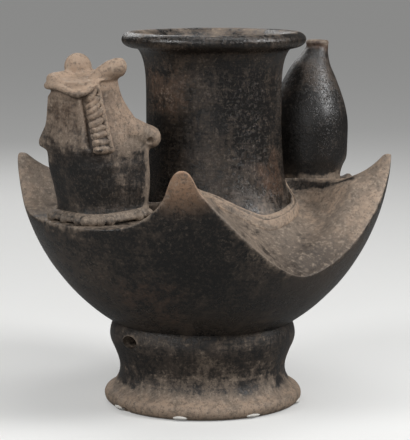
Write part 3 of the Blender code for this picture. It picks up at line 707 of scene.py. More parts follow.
class Paint:
    """Builds one procedural finish on Object coordinates."""

    def __init__(self, name):
        self.finish = bpy.data.materials.new(name)
        self.finish.use_nodes = True
        self.tree = self.finish.node_tree
        self.shader = self.tree.nodes["Principled BSDF"]
        self.place = self.node("ShaderNodeTexCoord", {}, output="Object")

    def node(self, kind, settings, *values, output=0, **sockets):
        """Add a node with its settings, then values or links of its sockets; None leaves one as it is."""
        node = self.tree.nodes.new(kind)
        for key, value in settings.items():
            setattr(node, key, value)
        for key, value in list(enumerate(values)) + list(sockets.items()):
            if value is not None:
                self.feed(node.inputs[key], value)
        return Field(self, node.outputs[output])

    def feed(self, socket, value):
        """Link a field to a socket, or set the socket's own value."""
        if isinstance(value, Field):
            self.tree.links.new(value.socket, socket)
        else:
            socket.default_value = value

    def set(self, name, value):
        """Give an input of the shader a field or a value."""
        self.feed(self.shader.inputs[name], value)

    def bump(self, strength, depth, height):
        """Raise the surface by a field."""
        self.set("Normal", self.node("ShaderNodeBump", {}, Strength=strength, Distance=depth, Height=height))

    def noise(self, scale, detail=4.0, roughness=0.55, where=None):
        """Cloudy noise from 0 to 1."""
        return self.node("ShaderNodeTexNoise", {}, Vector=where or self.place, Scale=scale, Detail=detail,
                         Roughness=roughness)

    def strokes(self, fineness):
        """Noise drawn out along the axes that have a low fineness."""
        return self.noise(1.0, 3.0, 0.6, self.node("ShaderNodeMapping", {}, self.place, Scale=fineness))

    def blend(self, low, high, share):
        """Mix two colours by a field."""
        low, high = (tint if isinstance(tint, Field) else (*tint, 1.0) for tint in (low, high))
        other_kinds = [None] * 5
        return self.node("ShaderNodeMix", {"data_type": "RGBA"}, share, *other_kinds, low, high, output=2)

    def near(self, centre, radius):
        """1 at a place on the vessel, fading to 0 at a radius from it."""
        gap = self.node("ShaderNodeVectorMath", {"operation": "DISTANCE"}, self.place, centre,
                        output="Value")
        return 1 - gap.ramp(FULL_SHARE * radius, radius)

    def gather(self, places):
        """The sum of places on the vessel, each with its radius and its strength."""
        return sum(self.near(centre, radius) * strength for centre, radius, strength in places)


# The front point's tip, and the radius within which it is bare
FRONT_TIP = Vector((0.0835, -0.0835, 0.166))
TIP_RADIUS = 0.034

# Where soil lies, where the smoke left the clay reddish and where it is thickest: place, radius, strength
SOIL_PLACES = (
    ((0.003, -0.035, 0.199), 0.018, 0.8), ((0.043, -0.003, 0.163), 0.024, 0.6),
    ((0.017, -0.053, 0.029), 0.024, 0.7), ((0.020, -0.060, 0.150), 0.014, 0.6),
    ((0.046, -0.078, 0.082), 0.022, 0.4),
)
RUST_PLACES = (
    (FRONT_TIP, TIP_RADIUS, 0.5), ((0.0, 0.099, 0.2316), 0.016, 1.0),
    ((0.003, -0.035, 0.205), 0.040, 0.42), ((0.043, 0.024, 0.150), 0.030, 0.5),
    ((0.050, -0.080, 0.075), 0.045, 0.5),
)
SMOKE_PLACES = (
    ((0.024, 0.079, 0.174), 0.040, 0.7), ((0.066, 0.024, 0.122), 0.018, 0.40),
    ((0.043, 0.005, 0.190), 0.040, 0.4), ((0.080, -0.070, 0.110), 0.040, 0.5),
    ((0.020, -0.104, 0.152), 0.022, 0.5),
)

# A dark smear at the foot of the flank and a warm tone over the head: place and radius
SMEAR = ((0.098, 0.014, 0.098), 0.052)
WARM_HEAD = ((0.004, -0.088, 0.202), 0.048)

# Noise in the clay, from coarse to fine: fineness, detail and roughness
CLOUDS = (17.0, 5.0, 0.60)
MOTTLE = (75.0, 6.0, 0.68)
MEDIUM = (230.0, 5.0, 0.68)
CHALK = (360.0, 5.0, 0.75)
PORES = (430.0, 5.0, 0.75)
DUST = (430.0, 4.0, 0.75)
GRAIN = (620.0, 4.0, 0.70)
FINE = (1900.0, 2.0, 0.60)
UPRIGHT_STROKES = (520.0, 520.0, 45.0)
LEVEL_STROKES = (40.0, 40.0, 620.0)


def clay(name, colours, wear, gloss, grit):
    """Burnished clay: smoke clouds, rubbed places with the painted shade and light that the pieces' rules
    add to them, rust, soil, strokes and fine grain.
    """
    paint = Paint(name)
    kinds = (CLOUDS, MOTTLE, MEDIUM, GRAIN, FINE)
    clouds, mottle, medium, grain, fine = (paint.noise(*kind) for kind in kinds)
    strokes = paint.strokes(UPRIGHT_STROKES)
    bands = paint.strokes(LEVEL_STROKES)
    worn = paint.node("ShaderNodeAttribute", {"attribute_name": "worn"}, output="Fac")
    smoke = paint.gather(SMOKE_PLACES)
    patchy = (mottle - 0.5) * 1.05 + (clouds - 0.5) * 0.8 + (medium - 0.5) * 0.6 + (grain - 0.5) * 0.4
    drawn = (strokes - 0.5) * 0.35 + (bands - 0.5) * 0.35
    # rubbed carries each piece's wear together with the painted shade and light of its rule.
    rubbed = worn + wear + (patchy + drawn * 0.8) * (1 - worn * 0.42) - smoke * 0.45
    bare = rubbed.ramp(0.28, 0.62)
    soil = (paint.gather(SOIL_PLACES) * 0.55 + patchy + (grain - 0.5) * 0.8).ramp(0.50, 0.90)
    chalk = (paint.noise(*CHALK) + drawn * 0.4).ramp(0.50, 0.64)
    pores = (paint.noise(*PORES) + drawn * 0.3).ramp(0.50, 0.62)
    specks = (0.45 * (1 - grain) + fine * 0.25 + 0.3 * clouds).ramp(0.54, 0.63)
    tip_grain = (mottle * 0.5 + grain * 0.5).ramp(0.30, 0.52)
    layers = (
        (colours.brown, (patchy + drawn + 0.44 - smoke * 0.5).ramp(0.28, 0.66)),
        (colours.rust, (paint.gather(RUST_PLACES) + patchy * 1.3).ramp(0.25, 0.9) * 0.7),
        (colours.taupe, bare),
        (colours.tan, rubbed.ramp(0.62, 1.0)),
        (colours.brown, paint.near(*SMEAR) * 0.80),
        (colours.orange, paint.near(FRONT_TIP, TIP_RADIUS) * tip_grain * 0.9),
        (colours.orange, paint.near(*WARM_HEAD) * 0.24),
        (colours.soil, soil * 0.7),
        (colours.taupe, (grain * 0.45 + fine * 0.25 + mottle * 0.3).ramp(0.545, 0.63) * (0.42 * grit)),
        (colours.soil, chalk * bare * 0.55),
        (colours.brown, pores * (0.55 * grit)),
        (colours.soil, (paint.noise(*DUST) * 0.7 + clouds * 0.3).ramp(0.56, 0.66) * (0.24 * grit)),
        (colours.smoked, specks * 0.6),
    )
    skin = colours.smoked
    for tint, share in layers:
        skin = paint.blend(skin, tint, share)
    paint.set("Base Color", skin)
    rough = gloss + rubbed.ramp(0.10, 0.6) * 0.30 + soil * 0.2 + (mottle - 0.5) * 0.3 + (grain - 0.5) * 0.2
    paint.set("Roughness", rough)
    relief = strokes * 0.16 + bands * 0.12 + mottle * 0.75 + grain * 0.30
    relief = relief - specks * 0.12 - pores * 0.10 + soil * 0.2
    paint.bump(0.6, 0.0011, relief)
    return paint.finish


def plaster(name, colours):
    """Matt white fill with a chalky grain."""
    paint = Paint(name)
    chalk = paint.noise(420.0, 4.0, 0.6)
    stain = paint.noise(160.0, 3.0, 0.6).ramp(0.45, 0.75)
    skin = paint.blend(colours.fill, colours.taupe, stain * 0.35 + (chalk - 0.5) * 0.2)
    paint.set("Base Color", skin)
    paint.set("Roughness", 0.85)
    paint.bump(0.5, 0.0006, chalk)
    return paint.finish


# How far a finish is rubbed all over, how rough it is and how strong its grit shows
CLAY_FINISHES = {
    "blackened_clay": (0.0, 0.33, 0.45),
    "polished_clay": (0.0, 0.20, 1.0),
    "burnished_clay": (0.0, 0.30, 1.0),
    "handled_clay": (0.08, 0.40, 1.0),
}


def finish_named(name):
    """A finish that was mixed before, or a new one of that name."""
    if name in bpy.data.materials:
        return bpy.data.materials[name]
    colours = bpy.context.scene.clay_colours
    if name == "white_plaster":
        return plaster(name, colours)
    return clay(name, colours, *CLAY_FINISHES[name])


# Operators

# Foot: columns and inset of its skin, sways of its wall as height, waves and phase, vent and notch
FOOT_COLUMNS = 240
FOOT_INSET = 0.0007
FOOT_SWAYS = ((0.0004, 3, 0.7), (0.0003, 5, 0.0))
SWAY_FROM_Z = 0.012
VENT_PLACE = (0, -0.0610, 0.0450)
VENT_SIZE = (0.0142, 0.0080, 0.030)
VENT_SIDES = 40
NOTCH_PLACE = (0, -0.0655, 0.0)
NOTCH_RADII = (0.0045, 0.0050, 0.0036)

# Chips in the foot's lip and their fills: directions in degrees, then reach, height and radii of both
CHIPS = {"front": -97, "near": -52, "side": -9, "far": 36}
CHIP = (0.0650, 0.0005, (0.0058, 0.0030, 0.0030))
CHIP_FILL = (0.0622, 0.0021, (0.0058, 0.0030, 0.0020))


class VESSEL_OT_foot(bpy.types.Operator):
    """Turn the waisted foot with its vent and its notch, and fill its chips"""

    bl_idname = "vessel.foot"
    bl_label = "Foot"

    def execute(self, context):
        profile = flow(FOOT_PROFILE, steps=6)
        profile.append(profile[0])

        def place(turn, row):
            radius, z = profile[row]
            sway = sum(height * math.sin(waves * turn + phase) for height, waves, phase in FOOT_SWAYS)
            return around(turn, radius - FOOT_INSET + sway * ease(z / SWAY_FROM_Z), max(z, 0.0))

        foot = rolled("foot", FOOT_COLUMNS, len(profile) - 1, place)
        clear_selection()
        width, height, depth = VENT_SIZE
        bpy.ops.mesh.primitive_cylinder_add(vertices=VENT_SIDES, radius=0.5, depth=depth,
                                            location=VENT_PLACE, rotation=(QUARTER_TURN, 0, 0),
                                            scale=(width, height, 1.0))
        bpy.ops.object.transform_apply(location=True, rotation=True, scale=True)
        carve(foot, named("vent"))
        carve(foot, ball("notch", NOTCH_PLACE, NOTCH_RADII))
        for degrees in CHIPS.values():
            carve(foot, self.lip_ball("chip", degrees, *CHIP))

        def wear(place, normal):
            lip = fade(place.z, 0.019, 0.009)
            flare = fade(place.z, 0.036, 0.020)
            # A painted highlight: the foot is made lighter round its collar.
            collar = hump(place.z, 0.0475, 0.006)
            return 0.56 * lip + 0.16 * flare + 0.08 * collar + 0.08

        wear_down(foot, wear, mottled=0.18)
        hand_over(foot, "handled_clay", "brown_clay", "foot_wall", "foot_lip_coil")
        for side, degrees in CHIPS.items():
            fill = self.lip_ball("plaster_" + side, degrees, *CHIP_FILL)
            bpy.ops.object.shade_smooth()
            knead(fill, depth=0.0007, size=0.003)
            hand_over(fill, "white_plaster", "white_fill", "white_fill_" + side)
        return {"FINISHED"}

    def lip_ball(self, name, degrees, reach, z, radii):
        """An egg that lies along the foot's lip in a direction."""
        turn = math.radians(degrees)
        return ball(name, around(turn, reach, z), radii, (0.0, 0.0, turn + QUARTER_TURN))


# Lumps on the edge beside the spout: directions in degrees, height, width and reach in widths
LUMPS = (68, 75, 82, 98, 105, 112)
LUMP_HEIGHT = 0.0030
LUMP_WIDTH = 0.0038
LUMP_REACH = 2.5


class VESSEL_OT_body(bpy.types.Operator):
    """Raise the bowl, its scalloped edge, its four points and its shoulder as one skin"""

    bl_idname = "vessel.body"
    bl_label = "Bowl, points and shoulder"

    def execute(self, context):
        sizes = context.scene.vessel_sizes
        rows = BOWL_ROWS + SHOULDER_ROWS + INNER_ROWS
        body = rolled("bowl_and_shoulder", BODY_COLUMNS, rows,
                      lambda turn, row: body_point(sizes, turn, row))

        def edge_gap(place):
            edge_z = edge_height(sizes, math.atan2(place.y, place.x))
            return math.hypot(math.hypot(place.x, place.y) - bowl_radius(sizes, edge_z), place.z - edge_z)

        def edge_softness(place):
            beside, _ = nearest_point(sizes, math.atan2(place.y, place.x))
            return fade(edge_gap(place), 0.027, 0.009) * (1 - 0.75 * fade(beside, 1.5, 0.5))

        soften(body, edge_softness, repeats=40)
        for degrees in LUMPS:
            turn = math.radians(degrees)
            edge_z = edge_height(sizes, turn)
            lump = around(turn, bowl_radius(sizes, edge_z) - EDGE_THICKNESS / 2, edge_z)
            for vertex in body.data.vertices:
                gap = (vertex.co - lump).length / LUMP_WIDTH
                if gap < LUMP_REACH:
                    vertex.co.z += LUMP_HEIGHT * math.exp(-gap * gap)
        knead(body, depth=0.0008, size=0.030)

        def painted_hip_shadow(place):
            """Painted shadow: a dark line under the hip between a flank and the spout's ledge."""
            if place.y < 0.03:
                return 0.0
            turn, share = shoulder_place(sizes, place.x, place.y)
            ruling = unswung(turn, share)
            on_flank = facet_value(ruling, 1.0, 0.0, 0.0)
            return on_flank * hump(1 - from_facet(ruling), 0.055, 0.045) * fade(share, 0.85, 0.65)

        # Rule of the body: wear on its edges, tips and facets, with a painted shadow under the hip and
        # painted light on the flanks.
        def wear(place, normal):
            upper = fade(normal.z, 0.06, 0.34)
            # Rubbed taupe on the flank facets, lighter toward the spout end: partly rubbed clay, partly
            # painted light.
            flank = upper * fade(abs(place.x), 0.0176, 0.0396) * mix(0.60, 0.84, fade(place.y, 0.006, 0.056))
            head_side = upper * fade(-place.y, 0.070, 0.090)
            edge = fade(edge_gap(place), 0.0099, 0.0009)
            below = fade(edge_gap(place), 0.024, 0.0)
            tip = fade((place - FRONT_TIP).length, 0.030, 0.0)
            rubbed = max(flank, 0.47 * upper, 0.50 * head_side, 0.46 * edge, 0.30 * below)
            # The painted shadow under the hip darkens the flank here.
            return rubbed + 0.30 * tip - 0.65 * upper * painted_hip_shadow(place)

        wear_down(body, wear, repeats=30, full=0.0020, share=0.10)
        hand_over(body, "burnished_clay", "black_clay", "bowl", "shoulder", "front_right_point",
                  "front_left_point", "back_right_point", "back_left_point")
        return {"FINISHED"}


# Neck: rows of its skin, how far it runs into the shoulder, and the rim's inset and fullness
NECK_COLUMNS = 220
NECK_SIDE_ROWS = 56
NECK_ROLL_ROWS = 18
NECK_INNER_ROWS = 30
NECK_ROWS = NECK_SIDE_ROWS + NECK_ROLL_ROWS + NECK_INNER_ROWS
NECK_SINK = 0.003
RIM_INSET = 0.0004
RIM_DROP = 0.003
RIM_FULLNESS = 0.85

# Coil at the neck's foot: how far it runs under the neck, its rows, the depth of its groove, and the
# shares of its width and height that are left where the hips meet the neck
COIL_TUCK = 0.0012
COIL_ROWS = 16
COIL_GROOVE = 0.30
COIL_EDGE_SINK = 0.0015
COIL_THIN_WIDTH = 0.6
COIL_THIN_HEIGHT = 0.35


class VESSEL_OT_neck(bpy.types.Operator):
    """Turn the wide neck with its rolled rim, and lay the coil at its foot"""

    bl_idname = "vessel.neck"
    bl_label = "Neck, rim and coil"

    def execute(self, context):
        sizes = context.scene.vessel_sizes
        seat = neck_side(sizes, sizes.neck_top)
        bulge = sizes.rim_radius - RIM_INSET - seat

        def place(turn, row):
            foot_z = by_neck(sizes, turn, neck_foot_reach(sizes, turn)).z - NECK_SINK
            if row <= NECK_SIDE_ROWS or row == NECK_ROWS:
                z = mix(foot_z, sizes.neck_top, row % NECK_ROWS / NECK_SIDE_ROWS)
                return around(turn, neck_side(sizes, z), z, NECK_Y)
            row -= NECK_SIDE_ROWS
            if row <= NECK_ROLL_ROWS:
                swing = math.pi * row / (NECK_ROLL_ROWS + 2)
                return around(turn, seat + bulge * math.sin(swing) ** RIM_FULLNESS,
                              sizes.neck_top + sizes.rim_height * (1 - math.cos(swing)) / 2, NECK_Y)
            mouth_z = sizes.neck_top + sizes.rim_height - RIM_DROP
            z = mix(mouth_z, foot_z, (row - NECK_ROLL_ROWS) / NECK_INNER_ROWS)
            return around(turn, neck_side(sizes, min(z, sizes.neck_top)) - NECK_WALL, z, NECK_Y)

        neck = rolled("neck_and_rim", NECK_COLUMNS, NECK_ROWS, place)
        soften(neck, lambda spot: fade(spot.z, sizes.neck_top - 0.004, sizes.neck_top), repeats=3)
        knead(neck, depth=0.0006, size=0.030)

        def wear(place, normal):
            top = fade(normal.z, 0.55, 0.85) * fade(place.z, 0.225, 0.231)
            foot = fade(place.z, 0.146, 0.126)
            return 0.15 * top + 0.24 * foot + 0.06

        wear_down(neck, wear)
        hand_over(neck, "polished_clay", "black_clay", "neck", "rim_coil")
        self.coil(sizes)
        return {"FINISHED"}

    def coil(self, sizes):
        """The double roll round the neck's foot, which thins out where the hips meet the neck."""
        def place(turn, row):
            share = row / COIL_ROWS
            fullness = fade(from_facet(unswung(turn, 0.15)), 1.0, 0.65)
            width = sizes.coil_width * mix(COIL_THIN_WIDTH, 1.0, fullness)
            point = by_neck(sizes, turn, neck_foot_reach(sizes, turn) - COIL_TUCK + width * share)
            ridge = math.sin(math.pi * share) ** 0.9 * (1 - COIL_GROOVE * math.cos(4 * math.pi * share))
            height = sizes.coil_height * mix(COIL_THIN_HEIGHT, 1.0, fullness)
            point.z += height * mix(1.15, 0.85, share) * ridge
            point.z -= COIL_EDGE_SINK * (row in (0, COIL_ROWS))
            return point

        coil = rolled("coil_round_neck", NECK_COLUMNS, COIL_ROWS, place)
        close_below(coil)

        def wear(place, normal):
            turn = math.atan2(place.y - NECK_Y, place.x)
            foot = around(turn, neck_foot_reach(sizes, turn), place.z, NECK_Y)
            share = (math.hypot(place.x - foot.x, place.y - foot.y) + COIL_TUCK) / sizes.coil_width
            # Painted shade on the coil: darker in the groove between its two ridges, at its inner edge
            # against the neck and along its outer edge.
            groove = hump(share, 0.52, 0.12)
            inner = fade(share, 0.30, 0.18)
            outer = fade(share, 0.80, 0.95)
            return 0.86 - 0.42 * groove - 0.75 * inner - 0.30 * outer

        wear_down(coil, wear, repeats=12, full=0.0006, share=0.24, mottled=0.26)
        hand_over(coil, "handled_clay", "taupe_clay", "neck_base_coil")


# Spout: columns and inset of its skin
SPOUT_COLUMNS = 120
SPOUT_INSET = 0.0003


class VESSEL_OT_spout(bpy.types.Operator):
    """Build the bottle-shaped tail spout with its bore"""

    bl_idname = "vessel.spout"
    bl_label = "Spout"

    def execute(self, context):
        sections = flow(SPOUT_SECTIONS, steps=6)
        last = len(sections) - 1

        def place(turn, row):
            z, centre_y, radius = sections[min(max(row - 1, 0), last)]
            if row in (0, last + 2):
                radius = 0.0
            return around(turn, max(radius - SPOUT_INSET, 0.0), z, centre_y)

        spout = rolled("tail_spout", SPOUT_COLUMNS, last + 2, place)
        knead(spout, depth=0.0006, size=0.020)

        def wear(place, normal):
            lip = fade(place.z, 0.2255, 0.2295)
            throat = fade(place.z, 0.205, 0.220)
            # Painted light: the spout turns lighter toward its foot, standing in for light thrown back from
            # the shoulder.
            foot = fade(place.z, 0.150, 0.140)
            return 0.36 * lip + 0.55 * foot + 0.12 * throat

        wear_down(spout, wear)
        hand_over(spout, "blackened_clay", "black_clay", "spout", "spout_lip")
        return {"FINISHED"}


# Head: grid of its shell, the slab over its muzzle, and the grain of the skins that are fused
HEAD_COLUMNS = 200
HEAD_ROWS = 96
CAP_COLUMNS = 180
CAP_ROWS = 40
CAP_Y = -0.0937
CAP_HALF_LENGTH = 0.0192
CAP_HALF_WIDTH = 0.0190
CAP_BOTTOM_Z = 0.2056
CAP_TOP_Z = 0.2122
CAP_ROUNDING = 0.2
CAP_ARCH = 0.0024
CAP_BOTTOM_TILT = 0.10
CAP_BOTTOM_SLOPE = 0.54
CAP_BOTTOM_RISE = 0.0090
CAP_TOP_TILT = 0.26
CAP_TOP_SLOPE = 0.15
SKIN_VOXEL = 0.0006

# Paths along the head, with their radii: the visor's edge and its far corner, the right ear and a knob;
# then place, radii and lean of the left ear, and place and radii of the pit under a knob
VISOR_KNOTS = (
    (-0.0178, -0.0990, 0.2128), (-0.0182, -0.1045, 0.2108), (-0.0172, -0.1086, 0.2098),
    (-0.0120, -0.1112, 0.2096), (-0.0050, -0.1118, 0.2098), (0.0040, -0.1118, 0.2088),
    (0.0110, -0.1112, 0.2070), (0.0158, -0.1092, 0.2060), (0.0180, -0.1050, 0.2074),
    (0.0184, -0.0990, 0.2108), (0.0178, -0.0945, 0.2138),
)
VISOR_RADIUS = 0.0024
BROW_KNOTS = (
    (-0.0150, -0.0930, 0.2150), (-0.0152, -0.1000, 0.2143), (-0.0150, -0.1060, 0.2138),
    (-0.0120, -0.1080, 0.2134), (-0.0060, -0.1084, 0.2122), (0.0020, -0.1082, 0.2106),
    (0.0090, -0.1070, 0.2088),
)
BROW_RADII = (0.0040, 0.0020)
EAR_KNOTS = (
    (0.0110, -0.0960, 0.2120), (0.0134, -0.0898, 0.2170), (0.0158, -0.0846, 0.2198),
    (0.0174, -0.0806, 0.2210), (0.0184, -0.0776, 0.2214), (0.0189, -0.0758, 0.2213),
)
EAR_RADII = (0.0040, 0.0054, 0.0062, 0.0064, 0.0058, 0.0036)
LEFT_EAR = ((-0.0162, -0.0862, 0.2200), (0.0058, 0.0100, 0.0090), (0.0, -0.2, 0.0))
KNOB_KNOTS = (
    (0.0095, -0.0800, 0.1830), (0.0118, -0.0730, 0.1815), (0.0137, -0.0660, 0.1797),
    (0.0150, -0.0600, 0.1780), (0.0160, -0.0550, 0.1770), (0.0168, -0.0512, 0.1765),
    (0.0172, -0.0490, 0.1763),
)
KNOB_RADII = (0.0080, 0.0112, 0.0098, 0.0084, 0.0076, 0.0062, 0.0034)
PIT_PLACE = (0.0234, -0.0600, 0.1752)
PIT_RADII = (0.0034, 0.0024, 0.0022)


class VESSEL_OT_head(bpy.types.Operator):
    """Model the lizard's head with its cap, lobes, knobs and throat coils as one skin"""

    bl_idname = "vessel.head"
    bl_label = "Head"

    def execute(self, context):
        bottom_z = HEAD_SECTIONS[0][0]
        top_z = HEAD_SECTIONS[-1][0]

        def shell_place(turn, row):
            z = mix(bottom_z, top_z, min(max((row - 1) / HEAD_ROWS, 0.0), 1.0))
            if row in (0, HEAD_ROWS + 2):
                return Vector((0, head_section(z)[0], z))
            return head_point(turn, z, head_relief(turn, z))

        shell = rolled("head", HEAD_COLUMNS, HEAD_ROWS + 2, shell_place)
        pieces = [shell, self.cap(), self.knob(1), self.knob(-1), self.visor_edge(), self.brow(),
                  self.right_ear(), self.left_ear()]
        head = fuse(pieces, "head", SKIN_VOXEL, repeats=9)
        knead(head, depth=0.0006, size=0.011)

        def wear(place, normal):
            cheek = fade(place.y, -0.098, -0.082)
            height = fade(place.z, mix(0.152, 0.160, cheek), mix(0.202, 0.184, cheek))
            lip = fade(place.z, 0.2055, 0.2085)
            back_corner = fade(place.x, 0.012, 0.018) * fade(place.y, -0.068, -0.060)
            # The head's sides are lighter than its front panel: partly the panel's browner clay, partly
            # painted light.
            return 0.12 + max(mix(0.32, 0.58, cheek) * height, 0.84 * lip, 0.46 * back_corner)

        wear_down(head, wear, repeats=16, share=0.32)
        hand_over(head, "handled_clay", "brown_clay", "head_shell", "muzzle_cap",
                  "right_nostril_lobe", "left_nostril_lobe", "right_eye_knob", "left_eye_knob",
                  "right_throat_coil", "left_throat_coil")
        return {"FINISHED"}

    def cap(self):
        """The visor over the muzzle: a slab whose thick lip slopes down to the front and is arched there."""
        def place(turn, row):
            cosine, sine = squared(turn)
            swing = math.pi * row / CAP_ROWS
            spread = math.sin(swing) ** CAP_ROUNDING
            x = CAP_HALF_WIDTH * cosine * spread
            y = CAP_Y + CAP_HALF_LENGTH * sine * spread
            back = y - CAP_Y + CAP_HALF_LENGTH
            arch = CAP_ARCH * fade(abs(x), 0.01725, 0.00225) * fade(back, 0.008, 0.0)
            sweep = min(CAP_BOTTOM_SLOPE * back, CAP_BOTTOM_RISE)
            bottom = CAP_BOTTOM_Z - CAP_BOTTOM_TILT * x + sweep + arch
            top = CAP_TOP_Z + CAP_TOP_SLOPE * back - CAP_TOP_TILT * x * fade(back, 0.022, 0.0)
            return Vector((x, y, mix(bottom, top, (1 - math.cos(swing)) / 2)))

        return rolled("cap", CAP_COLUMNS, CAP_ROWS, place)

    def visor_edge(self):
        """The thick roll along the visor's front and sides, lowest at the front corners."""
        path = flow(VISOR_KNOTS, steps=5)
        steps = len(path) - 1
        radii = [VISOR_RADIUS * mix(0.5, 1.0, ease(4 * min(k, steps - k) / steps)) for k in range(steps + 1)]
        return rope("visor_edge", path, radii, sides=20)

    def brow(self):
        """The square block of the visor's far front corner, which thins toward the near one."""
        path = flow(BROW_KNOTS, steps=4)
        return rope("brow", path, [mix(*BROW_RADII, fade(k, 12, 24)) for k in range(len(path))], sides=20)

    def right_ear(self):
        """A thick tongue that rises from the cap and leans to the back."""
        return rope("right_ear", EAR_KNOTS, EAR_RADII, sides=28)

    def left_ear(self):
        """A broad round ear that stands upright."""
        return ball("left_ear", *LEFT_EAR)

    def knob(self, side):
        """A beak-like knob that the back corner of the head runs out into, with a pit under its tip."""
        knob = rope("knob", [(side * x, y, z) for x, y, z in KNOB_KNOTS], KNOB_RADII, sides=28)
        x, y, z = PIT_PLACE
        carve(knob, ball("pit", (side * x, y, z), PIT_RADII))
        return knob


# Jaw bands: grid, heights of foot and top, places along Y and widths there, tilt, bars and their height,
# then how deep the bed and the outer rim lie
BAND_GRID = (28, 120)
BAND_Z = (0.1712, 0.2095)
BAND_Y = (-0.0955, -0.0998)
BAND_WIDTH = (0.0118, 0.0066)
BAND_TILT = 0.0040
BAND_BARS = 9.0
BAND_RELIEF = 0.0016
BAND_BED = -0.0001
BAND_SINK = -0.0010


class VESSEL_OT_bands(bpy.types.Operator):
    """Lay the toothed bands on the flanks of the head"""

    bl_idname = "vessel.bands"
    bl_label = "Jaw bands"

    def execute(self, context):
        for hand, side in (("right", 1), ("left", -1)):
            band = sheet(hand + "_toothed_band", *BAND_GRID,
                         lambda width, share: self.band_point(side, 2 * width - 1, share))
            if side < 0:
                bpy.ops.object.mode_set(mode="EDIT")
                bpy.ops.mesh.flip_normals()
                bpy.ops.object.mode_set(mode="OBJECT")
            close_below(band)
            knead(band, depth=0.0007, size=0.0030)
            wear_down(band, lambda place, normal: 0.40 + 0.08 * fade(place.z, 0.17, 0.20),
                      repeats=12, full=0.0004, share=0.35)
            hand_over(band, "handled_clay", "taupe_clay", hand + "_jaw_band")
        return {"FINISHED"}

    def band_point(self, side, across, share):
        """A point of the band: a raised frame round a channel with cross bars."""
        z = mix(*BAND_Z, share)
        centre_y, half_length, half_width, slope = head_section(z)
        y = mix(*BAND_Y, share) + across * mix(*BAND_WIDTH, share) / 2
        z += BAND_TILT * across * share
        along = min(abs(y - centre_y) / half_length, 0.98)
        x = half_width * (1 - along ** HEAD_SQUARENESS) ** (1 / HEAD_SQUARENESS)
        back_frame = fade(across, 0.52, 0.68)
        foot_frame = fade(share, 0.055, 0.035)
        rim = fade(abs(across), 1.0, 0.84) * fade(share, 0.0, 0.025)
        wander = BAND_BARS * share + 0.10 * across + 0.10 * math.sin(17 * share)
        lump = (0.5 - 0.5 * math.cos(FULL_TURN * wander)) * (0.85 + 0.15 * math.sin(31 * share + 3 * across))
        bar = ease(lump * 1.6 - 0.35)
        raised = max(0.8 * back_frame, 0.8 * foot_frame, 0.9 * bar)
        proud = mix(BAND_SINK, BAND_BED + BAND_RELIEF * raised, rim)
        return Vector((side * (x + proud), y, z + slope * (y - centre_y)))


# Beads: how many, how far round the head to either side in degrees, the string and the ledge behind them
BEAD_COUNT = 15
BEAD_SPREAD = 112
BEAD_LIFT = 0.0020
STRING_RADIUS = 0.0015
LEDGE_RADIUS = 0.0030
LEDGE_LIFT = 0.0014
LEDGE_INSET = 0.0004


class VESSEL_OT_beads(bpy.types.Operator):
    """Press the row of beads round the front of the head's base"""

    bl_idname = "vessel.beads"
    bl_label = "Bead collar"

    def execute(self, context):
        sizes = context.scene.vessel_sizes
        path = []
        ledge = []
        for k in range(BEAD_COUNT):
            spread = math.radians(mix(-BEAD_SPREAD, BEAD_SPREAD, k / (BEAD_COUNT - 1)))
            turn = spread - QUARTER_TURN
            beside = head_point(turn, HEAD_WAIST_Z, sizes.bead_radius)
            z = shoulder_height(sizes, beside.x, beside.y) + BEAD_LIFT
            path.append(Vector((beside.x, beside.y, z)))
            ledge.append(head_point(turn, z + LEDGE_LIFT, -LEDGE_INSET))
        pieces = [rope("string", path, [STRING_RADIUS] * BEAD_COUNT),
                  rope("ledge", ledge, [LEDGE_RADIUS] * BEAD_COUNT)]
        pieces += [ball("bead", place, [sizes.bead_radius] * 3) for place in path]
        collar = fuse(pieces, "row_of_beads", SKIN_VOXEL, repeats=2)

        wear_down(collar, lambda place, normal: 0.42 + 0.10 * fade(normal.z, 0.1, 0.7),
                  repeats=8, full=0.0004, share=0.34, mottled=0.08)
        hand_over(collar, "handled_clay", "taupe_clay", "bead_collar")
        return {"FINISHED"}


# Lamps: place, side of the square and the setting that holds the power
LAMPS = {
    "right_lamp": ((0.84, 0.48, 0.82), 0.40, "key_power"),
    "left_lamp": ((-0.14, -1.02, 0.80), 0.45, "side_power"),
    "front_lamp": ((0.72, -0.80, 0.62), 0.90, "fill_power"),
    "top_lamp": ((0.15, 0.10, 1.40), 0.80, "top_power"),
    "back_lamp": ((-1.05, 0.40, 0.80), 0.60, "fill_power"),
}
LAMP_AIM = Vector((0, 0, 0.12))
FLOOR_SIZE = 60.0
FLOOR_GLOW = 0.32
FLOOR_BOUNCE = 0.3
SURROUND_GREY = (0.66, 0.66, 0.66, 1.0)
SURROUND_LIGHT = 0.12
SURROUND_SEEN = 0.90

# Picture of 410 by 440: focal length and sideways shift in pixels of its height
PICTURE_HEIGHT = 440
FOCAL_PIXELS = 1850
SHIFT_PIXELS = 2
SENSOR_HEIGHT = 36.0


